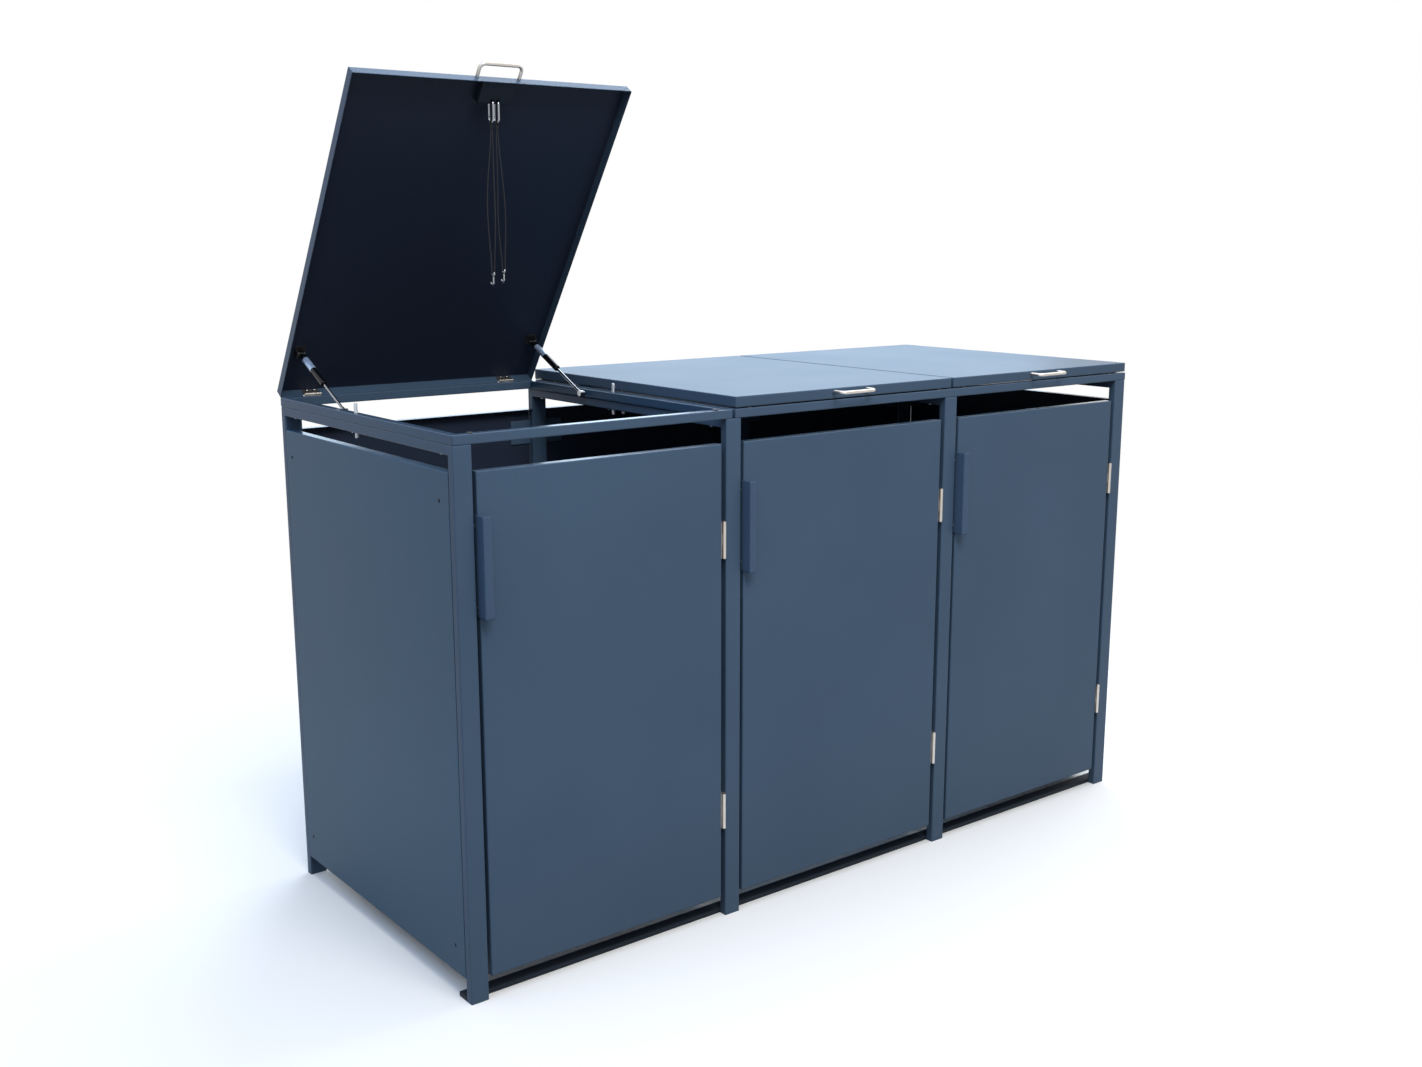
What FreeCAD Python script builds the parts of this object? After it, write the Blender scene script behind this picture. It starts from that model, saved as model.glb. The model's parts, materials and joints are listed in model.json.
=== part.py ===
import FreeCAD, Part
import math
import os
import re

# Three-bay wheelie bin store: welded tube frames, folded steel doors, panels and lids.
# Store frame while building: X from the left outer face, Y from the front, Z from the ground, mm.
# The left lid stands open, the other two are closed.

doc = FreeCAD.newDocument("bin_store")
sheet = doc.addObject("Spreadsheet::Sheet", "sizes")

SIZES = {
    # frame
    "bay_pitch": 670,
    "frame_depth": 805,
    "post_height": 1130,
    "post_width": 40,
    "post_depth": 20,
    "rail_height": 20,
    "tube_wall": 1.5,
    "tube_edge": 2,
    "top_tube": 20,
    "frame_joint": 8,
    "plug_length": 14,
    "bar_depth": 30,
    "bar_height": 10,
    # folded sheet
    "plate": 1.5,
    "bend": 2,
    "panel_bottom": 48,
    "panel_drop": 52,
    "panel_flange": 20,
    "panel_gap": 0.5,
    "back_recess": 0.8,
    "lug_plate": 2,
    "lug_length": 55,
    "lug_height": 60,
    "rivet_front": 60.5,
    "rivet_rear": 47,
    "rivet_back": 40,
    "rivet_inset": 59,
    "rivet_shank": 1.6,
    "rivet_head": 4,
    "rivet_rise": 0.8,
    "hole_play": 0.1,
    # doors
    "door_gap": 8,
    "door_hinge_gap": 12.5,
    "hinge_low": 253,
    "hinge_drop": 208,
    "hinge_length": 80,
    "hinge_front": 1.5,
    "barrel": 4.25,
    "pin": 2.5,
    "running_play": 0.05,
    "knuckle_gap": 0.3,
    "leaf": 1.5,
    "leaf_end": 18,
    "stop_play": 0.3,
    "stop_plate": 2,
    "stop_width": 30,
    "stop_height": 40,
    "stop_drop": 118,
    "stop_low": 150,
    "handle_plate": 2,
    "handle_drop": 284,
    "handle_length": 200,
    "handle_reach": 25,
    "handle_grip": 20,
    "handle_seat": 15,
    "handle_rivet_inset": 20,
    "handle_rivet_back": 8,
    # lids
    "lid_open": 56,
    "lid_gap": 6,
    "lid_height": 20,
    "lid_edge_drop": 3,
    "lid_overhang": 7,
    "lid_inset": 1.5,
    "lid_axis_back": 2.2,
    "lid_axis_rise": 3.2,
    "lid_barrel": 3.5,
    "lid_pin": 1.75,
    "lid_hinge_inset": 56.5,
    "lid_hinge_length": 40,
    "lid_knuckle": 14,
    "lid_leaf_clear": 0.8,
    "lid_leaf_top": 16,
    "rear_edge_drop": 6,
    "rear_edge_clear": 2,
    "frame_leaf_drop": 16,
    "bolt_head": 3.5,
    "bolt_rise": 3,
    "bolt_inset": 11,
    "bolt_up": 10,
    "grip_bar": 4,
    "bar_span": 100,
    "bar_reach": 32,
    "bar_bend": 12,
    "bar_up": 12,
    "bracket_width": 78,
    "bracket_back": 52,
    "hook_hole": 4.5,
    "hook_hole_inset": 8,
    "hook_spread": 6.5,
    # struts
    "strut_inset": 13,
    "strut_pin": 4,
    "frame_pivot_back": 270,
    "frame_pivot_drop": 9,
    "lid_pivot_back": 115,
    "lid_pivot_up": 7,
    "cylinder": 7.5,
    "cylinder_start": 12,
    "cylinder_length": 118,
    "rod": 3,
    "rod_length": 128,
    "rod_bore": 98,
    "socket": 7,
    "socket_width": 10,
    "neck": 4,
    "neck_length": 14,
    "stud_play": 0.3,
    "ear_plate": 2,
    "ear_off": 10,
    "ear_half": 8,
    "foot_half": 14,
    "foot_width": 24,
    "shoulder": 5.5,
    # fasteners on the frames
    "clamp_stud": 4,
    "clamp_stud_back": 432,
    "clamp_stud_drop": 12,
    "clamp_stud_rise": 21,
    "screw": 2.5,
    "screw_head": 4,
    "screw_rise": 3,
    "screw_inset": 60,
    "screw_beside": 16,
    "buffer": 6.5,
    "buffer_back": 6.8,
    "buffer_inset": 39.5,
    "buffer_round": 1.2,
    "buffer_play": 0.3,
    # snap hooks and what hangs on them
    "hook_wire": 2.5,
    "hook_ring": 9,
    "hook_straight": 27,
    "hook_play": 0.3,
    "gate": 2.2,
    "gate_top": 4,
    "gate_pivot": 21,
    "gate_play": 0.3,
    "cord": 1.25,
    "knot": 4,
    "knot_play": 0.15,
    "knot_length": 7.5,
    "clip_wire": 1.6,
    "clip_eye": 4,
    "clip_shank": 14,
    "clip_hook": 5,
}

for row, (name, size) in enumerate(SIZES.items(), 1):
    sheet.set("A%d" % row, name)
    sheet.set("B%d" % row, str(size))
    sheet.setAlias("B%d" % row, name)
doc.recompute()

# Places that follow from the sizes
TOTAL = "3 * bay_pitch"
FRAME_TOP = "post_height + top_tube"
PANEL_TOP = "post_height - panel_drop"
HINGE_HIGH = f"{PANEL_TOP} - hinge_drop"
STOP_HIGH = f"{PANEL_TOP} - stop_drop"
HANDLE_LOW = f"{PANEL_TOP} - handle_drop"
BACK_FACE = "frame_depth - back_recess"
LID_LOW = "post_height + top_tube + lid_gap"
LID_TOP = "post_height + top_tube + lid_gap + lid_height"
LID_EDGE = "post_height + top_tube + lid_gap - lid_edge_drop"
LID_DEPTH = "frame_depth + lid_overhang"
LID_WIDTH = "bay_pitch - frame_joint / 2 - 2 * lid_inset"
AXIS_Y = "frame_depth + lid_axis_back"
AXIS_Z = "post_height + top_tube + lid_axis_rise"


def ex(text):
    """An expression on the sheet's cells, from one on the bare names."""
    return re.sub(r"[a-z_]+", lambda m: "sizes." + m[0] if m[0] in SIZES else m[0], str(text))


def value(text):
    """The number that an expression gives."""
    return float(sheet.evalExpression(ex(text)))


def bind(obj, sizes, x="0", y="0", z="0"):
    for name, text in sizes.items():
        obj.setExpression(name, ex(text))
    obj.setExpression("Placement.Base.x", ex(x))
    obj.setExpression("Placement.Base.y", ex(y))
    obj.setExpression("Placement.Base.z", ex(z))
    return obj


def span(low, high):
    return "(%s) - (%s)" % (high, low)


def box(x, y, z):
    """A block between the two places given for each direction."""
    obj = doc.addObject("Part::Box", "block")
    size = {"Length": span(*x), "Width": span(*y), "Height": span(*z)}
    return bind(obj, size, x[0], y[0], z[0])


TURNED = {
    "x": FreeCAD.Rotation(FreeCAD.Vector(0, 1, 0), 90),
    "y": FreeCAD.Rotation(FreeCAD.Vector(1, 0, 0), -90),
    "z": FreeCAD.Rotation(),
}


def round_bar(axis, start, end, a, b, radius):
    """A cylinder along axis from start to end; a and b are its place on the other two, in order."""
    obj = doc.addObject("Part::Cylinder", "round_bar")
    obj.Placement.Rotation = TURNED[axis]
    place = {"x": (start, a, b), "y": (a, start, b), "z": (a, b, start)}[axis]
    return bind(obj, {"Radius": radius, "Height": span(start, end)}, *place)


def bent_bar(centre, first, across, ring, wire, turn):
    """Part of a ring that starts at direction first and turns towards direction across."""
    obj = doc.addObject("Part::Torus", "bent_bar")
    first = FreeCAD.Vector(*first)
    across = FreeCAD.Vector(*across)
    obj.Placement.Rotation = FreeCAD.Rotation(first, across, first.cross(across), "XZY")
    obj.Angle3 = turn
    return bind(obj, {"Radius1": ring, "Radius2": wire}, *centre)


def ball(x, y, z, radius):
    return bind(doc.addObject("Part::Sphere", "ball"), {"Radius": radius}, x, y, z)


def joined(*parts):
    obj = doc.addObject("Part::MultiFuse", "joined")
    obj.Shapes = list(parts)
    obj.Refine = True
    return obj


def cut(base, *tools):
    obj = doc.addObject("Part::Cut", "cut")
    obj.Base = base
    obj.Tool = tools[0] if len(tools) == 1 else joined(*tools)
    return obj


def rounded(base, radius, chosen):
    """base with the edges rounded for which chosen(direction, middle, box) holds."""
    doc.recompute([base])
    edges = []
    for number, edge in enumerate(base.Shape.Edges, 1):
        direction = edge.tangentAt(edge.FirstParameter)
        if chosen(direction, edge.CenterOfMass, base.Shape.BoundBox):
            edges.append((number, value(radius), value(radius)))
    obj = doc.addObject("Part::Fillet", "rounded")
    obj.Base = base
    obj.Edges = edges
    return obj


NODES = []


def node(label, *parts, tilted=False):
    """A named sub-part, moved to the part's own origin; tilted ones stand open with the left lid."""
    obj = doc.addObject("Part::Compound", label)
    obj.Label = label
    obj.Links = list(parts)
    back = "0"
    rise = "0"
    if tilted:
        obj.Placement.Rotation = FreeCAD.Rotation(FreeCAD.Vector(1, 0, 0), -1)
        obj.setExpression("Placement.Rotation.Angle", ex("-lid_open"))
        obj.setExpression("Placement.Rotation.Axis.x", "1")
        obj.setExpression("Placement.Rotation.Axis.z", "0")
        back = f"({AXIS_Y}) - cos(lid_open) * ({AXIS_Y}) - sin(lid_open) * ({AXIS_Z})"
        rise = f"({AXIS_Z}) + sin(lid_open) * ({AXIS_Y}) - cos(lid_open) * ({AXIS_Z})"
    bind(obj, {}, f"-({TOTAL}) / 2", f"({back}) - ({MIDDLE})", rise)
    NODES.append(obj)
    return obj


def opened(y, z):
    """Where a point of a closed lid goes when that lid stands open."""
    dy = f"(({y}) - ({AXIS_Y}))"
    dz = f"(({z}) - ({AXIS_Z}))"
    return (f"({AXIS_Y}) + cos(lid_open) * {dy} + sin(lid_open) * {dz}",
            f"({AXIS_Z}) - sin(lid_open) * {dy} + cos(lid_open) * {dz}")


# The part's own origin is under the middle of its box: from the closed lids' bar handles
# to the rear bend of the open lid.
FRONT_MOST = "-(bar_reach + grip_bar)"
REAR_MOST = opened(f"({LID_DEPTH}) - bend", f"({LID_TOP}) - bend")[0] + " + bend"
MIDDLE = f"(({FRONT_MOST}) + ({REAR_MOST})) / 2"


def post_left(number):
    """The left face of each of the four post frames."""
    return ["0", "bay_pitch - post_width / 2", "2 * bay_pitch - post_width / 2",
            "3 * bay_pitch - post_width"][number]


# The tubes of the top frames over each side frame: the places of the clamp studs and screws.
# The wide cross tube has them in its left half, where they clear the edges of both lids.
STUD_LINES = ["top_tube / 2",
              "bay_pitch - frame_joint / 2 - top_tube / 2",
              "bay_pitch + frame_joint / 2 + top_tube / 2",
              "2 * bay_pitch - top_tube / 2",
              "3 * bay_pitch - top_tube / 2"]
SCREW_ROWS = ["screw_inset", "clamp_stud_back + screw_beside", "frame_depth - screw_inset"]
PANEL_RIVETS = ["panel_bottom + rivet_inset", f"{PANEL_TOP} - rivet_inset"]


def upright(d, m, b):
    return abs(d.z) > 0.9


def upright_or_top(d, m, b):
    return abs(d.z) > 0.9 or m.z > b.ZMax - 0.1


def along_y(d, m, b):
    return abs(d.y) > 0.9


def stud_holes(lines, low, high):
    holes = []
    for line in lines:
        holes.append(round_bar("z", low, high, line, "clamp_stud_back", "clamp_stud + hole_play"))
        for row in SCREW_ROWS:
            holes.append(round_bar("z", low, f"({high}) - screw_rise", line, row, "screw + hole_play"))
    return holes


def side_frame(label, number, lines, outer, inner_sides):
    """Two posts and a top rail, welded, with the lugs that carry the panels.

    outer is -1 or 1 where the frame carries a side panel on its left or right face, else 0.
    inner_sides says on which faces, "left" or "right", the rear post carries a back panel.
    """
    left = post_left(number)
    right = f"{left} + post_width"
    solids = []
    hollows = []
    for front in ("0", "frame_depth - post_depth"):
        post = box((left, right), (front, f"{front} + post_depth"), ("0", "post_height"))
        solids.append(rounded(post, "tube_edge", upright_or_top))
        hollows.append(box((f"{left} + tube_wall", f"{right} - tube_wall"),
                           (f"{front} + tube_wall", f"{front} + post_depth - tube_wall"),
                           ("-1", "post_height - tube_wall")))
    rail = box((left, right), ("post_depth - tube_edge", "frame_depth - post_depth + tube_edge"),
               ("post_height - rail_height", "post_height"))
    solids.append(rounded(rail, "tube_edge", along_y))
    hollows.append(box((f"{left} + tube_wall", f"{right} - tube_wall"),
                       ("post_depth", "frame_depth - post_depth"),
                       ("post_height - rail_height + tube_wall", "post_height - tube_wall")))
    for height in PANEL_RIVETS:
        tall = (f"{height} - lug_height / 2", f"{height} + lug_height / 2")
        if outer:
            face = f"{left} + plate" if outer < 0 else f"{right} - plate - lug_plate"
            across = (face, f"{face} + lug_plate")
            reach = "rivet_rear - post_depth + lug_length - rivet_front + post_depth"
            solids.append(box(across, ("post_depth - plate", "post_depth + lug_length"), tall))
            solids.append(box(across, (f"frame_depth - post_depth - ({reach})",
                                       "frame_depth - post_depth + plate"), tall))
            for y in ("rivet_front", "frame_depth - rivet_rear"):
                hollows.append(round_bar("x", f"{face} - 1", f"{face} + lug_plate + 1", y, height,
                                         "rivet_shank + hole_play"))
        for side in inner_sides:
            edge = left if side == "left" else right
            sign = "-" if side == "left" else "+"
            ends = (edge, f"{edge} {sign} lug_length")
            ends = ends if side == "right" else (ends[1], f"{edge} + plate")
            ends = ends if side == "left" else (f"{edge} - plate", ends[1])
            depth = (f"{BACK_FACE} - plate - lug_plate", f"{BACK_FACE} - plate")
            solids.append(box(ends, depth, tall))
            hollows.append(round_bar("y", f"{BACK_FACE} - plate - lug_plate - 1", BACK_FACE,
                                     f"{edge} {sign} rivet_back", height,
                                     "rivet_shank + hole_play"))
    hollows += stud_holes(lines, "post_height - rail_height - 1", "post_height + 3")
    return node(label, cut(joined(*solids), *hollows))


side_frame("side_frame_left", 0, STUD_LINES[:1], -1, ["right"])
side_frame("middle_frame_1", 1, STUD_LINES[1:3], 0, ["left", "right"])
side_frame("middle_frame_2", 2, STUD_LINES[3:4], 0, ["left", "right"])
side_frame("side_frame_right", 3, STUD_LINES[4:], 1, ["left"])


def post_plugs():
    plugs = []
    for number in range(4):
        left = post_left(number)
        for front in ("0", "frame_depth - post_depth"):
            plugs.append(box((f"{left} + tube_wall", f"{left} + post_width - tube_wall"),
                             (f"{front} + tube_wall", f"{front} + post_depth - tube_wall"),
                             ("0", "plug_length")))
    node("post_plugs", *plugs)


post_plugs()


# The low flat bar on the ground that ties the front posts.
node("threshold_bar", box(("0", TOTAL), ("post_depth", "post_depth + bar_depth"), ("0", "bar_height")))


def side_panel(label, side):
    """A sheet flush with the frame's outer face, folded inwards along its top and its bottom."""
    skin = ("0", "panel_flange") if side < 0 else (f"{TOTAL} - panel_flange", TOTAL)
    inner = ("plate", "panel_flange + 1") if side < 0 else \
        (f"{TOTAL} - panel_flange - 1", f"{TOTAL} - plate")
    long = ("post_depth + panel_gap", "frame_depth - post_depth - panel_gap")

    def outer_bends(d, m, b):
        return abs(d.y) > 0.9 and abs(m.x - (b.XMin if side < 0 else b.XMax)) < 0.1

    body = rounded(box(skin, long, ("panel_bottom", PANEL_TOP)), "bend", outer_bends)
    hollow = box(inner, ("0", "frame_depth"), ("panel_bottom + plate", f"{PANEL_TOP} - plate"))
    ends = ("-1", "plate + 1") if side < 0 else (f"{TOTAL} - plate - 1", f"{TOTAL} + 1")
    holes = [round_bar("x", *ends, y, height, "rivet_shank + hole_play")
             for y in ("rivet_front", "frame_depth - rivet_rear") for height in PANEL_RIVETS]
    node(label, cut(body, hollow, *holes))


side_panel("side_panel_left", -1)
side_panel("side_panel_right", 1)


def back_panel(number):
    """The same folded sheet between two rear posts."""
    left = f"{post_left(number - 1)} + post_width"
    right = post_left(number)

    def outer_bends(d, m, b):
        return abs(d.x) > 0.9 and abs(m.y - b.YMax) < 0.1

    body = rounded(box((f"{left} + panel_gap", f"{right} - panel_gap"),
                       (f"{BACK_FACE} - panel_flange", BACK_FACE),
                       ("panel_bottom", PANEL_TOP)), "bend", outer_bends)
    hollow = box((left, right), (f"{BACK_FACE} - panel_flange - 1", f"{BACK_FACE} - plate"),
                 ("panel_bottom + plate", f"{PANEL_TOP} - plate"))
    holes = [round_bar("y", f"{BACK_FACE} - plate - 1", f"{BACK_FACE} + 1", x, height,
                       "rivet_shank + hole_play")
             for x in (f"{left} + rivet_back", f"{right} - rivet_back") for height in PANEL_RIVETS]
    node("back_panel_%d" % number, cut(body, hollow, *holes))


for number in (1, 2, 3):
    back_panel(number)


def rivet(axis, outer, sign, a, b, grip):
    """A blind rivet: head outside, shank through the grip, tail inside. sign points inwards."""
    def at(distance):
        return f"({outer}) {sign} ({distance})"

    def piece(near, far, radius):
        ends = (at(near), at(far)) if sign == "+" else (at(far), at(near))
        return round_bar(axis, *ends, a, b, radius)

    return joined(piece("-rivet_rise", "0", "rivet_head"),
                  piece("0", grip, "rivet_shank"),
                  piece(grip, f"{grip} + 1", "rivet_shank + 1"))


def panel_rivets():
    grip = "plate + lug_plate"
    rivets = []
    for height in PANEL_RIVETS:
        for y in ("rivet_front", "frame_depth - rivet_rear"):
            rivets.append(rivet("x", "0", "+", y, height, grip))
            rivets.append(rivet("x", TOTAL, "-", y, height, grip))
        for number in (1, 2, 3):
            left = f"{post_left(number - 1)} + post_width"
            right = post_left(number)
            for x in (f"{left} + rivet_back", f"{right} - rivet_back"):
                rivets.append(rivet("y", BACK_FACE, "-", x, height, grip))
    node("panel_rivets", *rivets)


panel_rivets()


def top_frame(label, left, right, rails, lines):
    """A flat frame of square tube. rails are the inner cross tubes, each from and to."""
    low = "post_height"
    high = FRAME_TOP
    edges = [left] + [place for rail in rails for place in rail] + [right]
    windows = []
    for number in range(len(rails) + 1):
        start = f"{edges[2 * number]}" + (" + top_tube" if number == 0 else "")
        end = f"{edges[2 * number + 1]}" + (" - top_tube" if number == len(rails) else "")
        windows.append((start, end))
    body = box((left, right), ("0", "frame_depth"), (low, high))
    openings = [box(window, ("top_tube", "frame_depth - top_tube"), (f"{low} - 1", f"{high} + 1"))
                for window in windows]
    ring = rounded(cut(body, *openings), "tube_edge", lambda d, m, b: abs(d.z) < 0.1)
    inside = (f"{low} + tube_wall", f"{high} - tube_wall")
    hollow = box((f"{left} + tube_wall", f"{right} - tube_wall"),
                 ("tube_wall", "frame_depth - tube_wall"), inside)
    cores = [box((f"{start} - tube_wall", f"{end} + tube_wall"),
                 ("top_tube - tube_wall", "frame_depth - top_tube + tube_wall"), inside)
             for start, end in windows]
    holes = []
    for line in lines:
        holes.append(round_bar("z", f"{low} - 1", f"{high} + 1", line, "clamp_stud_back",
                               "clamp_stud + hole_play"))
        for row in SCREW_ROWS:
            holes.append(round_bar("z", f"{low} - 1", f"{low} + 2 * tube_wall", line, row,
                                   "screw + hole_play"))
    node(label, cut(cut(ring, cut(hollow, *cores)), *holes))


SINGLE_END = "bay_pitch - frame_joint / 2"
DOUBLE_START = "bay_pitch + frame_joint / 2"
CROSS_RAIL = (post_left(2), f"{post_left(2)} + post_width")
top_frame("top_frame_single", "0", SINGLE_END, [], STUD_LINES[:2])
top_frame("top_frame_double", DOUBLE_START, TOTAL, [CROSS_RAIL], STUD_LINES[2:])


def clamp_studs():
    low = "post_height - rail_height - clamp_stud_drop"
    high = f"{FRAME_TOP} + clamp_stud_rise"
    node("clamp_studs", *[round_bar("z", low, high, line, "clamp_stud_back", "clamp_stud")
                          for line in STUD_LINES])


clamp_studs()


def frame_screws():
    """Pan-head screws up through the side frames' rails into the top frames' lower walls."""
    screws = []
    under = "post_height - rail_height"
    for line in STUD_LINES:
        for row in SCREW_ROWS:
            head = round_bar("z", f"{under} - screw_rise", under, line, row, "screw_head")
            shank = round_bar("z", under, "post_height + tube_wall + 1", line, row, "screw")
            screws.append(joined(head, shank))
    node("frame_screws", *screws)


frame_screws()


# Doors: trays hung on the right post of each bay, hinge pins upright in front of the frame.


DOOR_DEPTH = "post_depth - stop_play"


def door_left(number):
    return f"{post_left(number - 1)} + post_width + door_gap"


def door_right(number):
    return f"{post_left(number)} - door_hinge_gap"


def front_bends(d, m, b):
    return abs(m.y - b.YMin) < 0.1


def door(number):
    left = door_left(number)
    right = door_right(number)
    body = rounded(box((left, right), ("0", DOOR_DEPTH), ("panel_bottom", PANEL_TOP)),
                   "bend", front_bends)
    hollow = box((f"{left} + plate", f"{right} - plate"), ("plate", "post_depth"),
                 ("panel_bottom + plate", f"{PANEL_TOP} - plate"))
    low = f"{HANDLE_LOW} + handle_rivet_inset"
    high = f"{HANDLE_LOW} + handle_length - handle_rivet_inset"
    holes = [round_bar("x", f"{left} - 1", f"{left} + plate + 1", "handle_rivet_back", height,
                       "rivet_shank + hole_play") for height in (low, high)]
    node("door_%d" % number, cut(body, hollow, *holes))

    outer = f"{left} - handle_plate"
    tall = (HANDLE_LOW, f"{HANDLE_LOW} + handle_length")
    side = box((outer, left), ("-handle_reach", "handle_seat"), tall)
    grip = box((outer, f"{outer} + handle_grip"), ("-handle_reach", "handle_plate - handle_reach"),
               tall)

    def outer_fold(d, m, b):
        return abs(d.z) > 0.9 and abs(m.x - b.XMin) < 0.1 and abs(m.y - b.YMin) < 0.1

    folded = rounded(joined(side, grip), "bend", outer_fold)
    through = [round_bar("x", f"{outer} - 1", f"{left} + 1", "handle_rivet_back", height,
                         "rivet_shank + hole_play") for height in (low, high)]
    node("door_handle_%d" % number, cut(folded, *through))
    node("handle_rivets_%d" % number,
         *[rivet("x", outer, "+", "handle_rivet_back", height, "handle_plate + plate")
           for height in (low, high)])


for number in (1, 2, 3):
    door(number)


def hinge_thirds(centre):
    """The heights where the three knuckles of an upright hinge start and end."""
    low = f"{centre} - hinge_length / 2"
    third = "(hinge_length - 2 * knuckle_gap) / 3"
    return [(f"{low} + {n} * ({third} + knuckle_gap)",
             f"{low} + {n} * ({third} + knuckle_gap) + {third}") for n in (0, 1, 2)]


def door_hinges():
    """Post leaves with their outer knuckles and the pins; door leaves with the middle ones."""
    fixed = []
    web = ("barrel - leaf - hinge_front", "barrel - hinge_front")
    for number in (1, 2, 3):
        post = post_left(number)
        edge = door_right(number)
        axis = f"{post} - door_hinge_gap / 2"
        moving = []
        for centre in ("hinge_low", HINGE_HIGH):
            tall = (f"{centre} - hinge_length / 2", f"{centre} + hinge_length / 2")
            thirds = hinge_thirds(centre)
            leaf = box((f"{post} - leaf", post), (web[0], "leaf_end"), tall)
            knuckles = [round_bar("z", *third, axis, "-hinge_front", "barrel")
                        for third in (thirds[0], thirds[2])]
            webs = [box((axis, post), web, third) for third in (thirds[0], thirds[2])]
            bore = round_bar("z", *tall, axis, "-hinge_front", "pin")
            fixed.append(cut(joined(leaf, *knuckles, *webs), bore))
            fixed.append(round_bar("z", f"{tall[0]} - 1", f"{tall[1]} + 1", axis, "-hinge_front",
                                   "pin"))
            leaf = box((edge, f"{edge} + leaf"), (web[0], "leaf_end"), tall)
            knuckle = round_bar("z", *thirds[1], axis, "-hinge_front", "barrel")
            bore = round_bar("z", *tall, axis, "-hinge_front", "pin + running_play")
            moving.append(cut(joined(leaf, knuckle, box((edge, axis), web, thirds[1])), bore))
        node("door_hinge_leaves_%d" % number, *moving)
    node("door_hinge_frame_leaves", *fixed)


door_hinges()


def door_stops():
    """Flat plates on the backs of the handle-side posts, which the closed doors rest against."""
    stops = []
    for number in (1, 2, 3):
        edge = f"{door_left(number)} + stop_width / 3"
        for height in ("stop_low", STOP_HIGH):
            stops.append(box((f"{edge} - stop_width", edge),
                             ("post_depth", "post_depth + stop_plate"),
                             (height, f"{height} + stop_height")))
    node("door_stops", *stops)


door_stops()


# Lids, modelled closed; the left one's pieces are then tilted about its hinge axis.


def lid_left(number):
    return ["lid_inset", f"{DOUBLE_START} + lid_inset", f"{TOTAL} - lid_inset - ({LID_WIDTH})"][number - 1]


def strut_planes(number):
    """The rail faces beside a lid's opening and the planes of its two struts, left then right."""
    faces = [("top_tube", f"{SINGLE_END} - top_tube"),
             (f"{DOUBLE_START} + top_tube", CROSS_RAIL[0]),
             (CROSS_RAIL[1], f"{TOTAL} - top_tube")][number - 1]
    return [(faces[0], "+"), (faces[1], "-")]


LID_PIVOT = (f"frame_depth + lid_overhang - lid_pivot_back", f"{LID_LOW} + lid_pivot_up")
FRAME_PIVOT = ("frame_depth - frame_pivot_back", f"{FRAME_TOP} - frame_pivot_drop")


def outer_lid_bends(d, m, b):
    return abs(d.z) > 0.9 or abs(m.z - b.ZMax) < 0.1


def hinge_spans(number):
    left = lid_left(number)
    right = f"{left} + ({LID_WIDTH})"
    return [(f"{left} + lid_hinge_inset", f"{left} + lid_hinge_inset + lid_hinge_length"),
            (f"{right} - lid_hinge_inset - lid_hinge_length", f"{right} - lid_hinge_inset")]


def middle_knuckle(start):
    first = f"{start} + (lid_hinge_length - lid_knuckle) / 2"
    return (first, f"{first} + lid_knuckle")


def hinge_notches(number):
    """Blocks that cut a lid's rear flange back to LID_LOW round its hinges."""
    return [box((f"{start} - rear_edge_clear", f"{end} + rear_edge_clear"),
                (f"{LID_DEPTH} - bend", f"{LID_DEPTH} + 1"), (f"{LID_EDGE} - 1", LID_LOW))
            for start, end in hinge_spans(number)]


def rear_edge(number):
    """Strips that carry a lid's rear flange down past the rail, left out round its hinges."""
    left = lid_left(number)
    (start, end), (next_start, next_end) = hinge_spans(number)
    spans = [(f"{left} + bend", f"{start} - rear_edge_clear"),
             (f"{end} + rear_edge_clear", f"{next_start} - rear_edge_clear"),
             (f"{next_end} + rear_edge_clear", f"{left} + ({LID_WIDTH}) - bend")]
    return [box(across, (f"{LID_DEPTH} - plate", LID_DEPTH), (f"{LID_LOW} - rear_edge_drop", LID_LOW))
            for across in spans]


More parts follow.
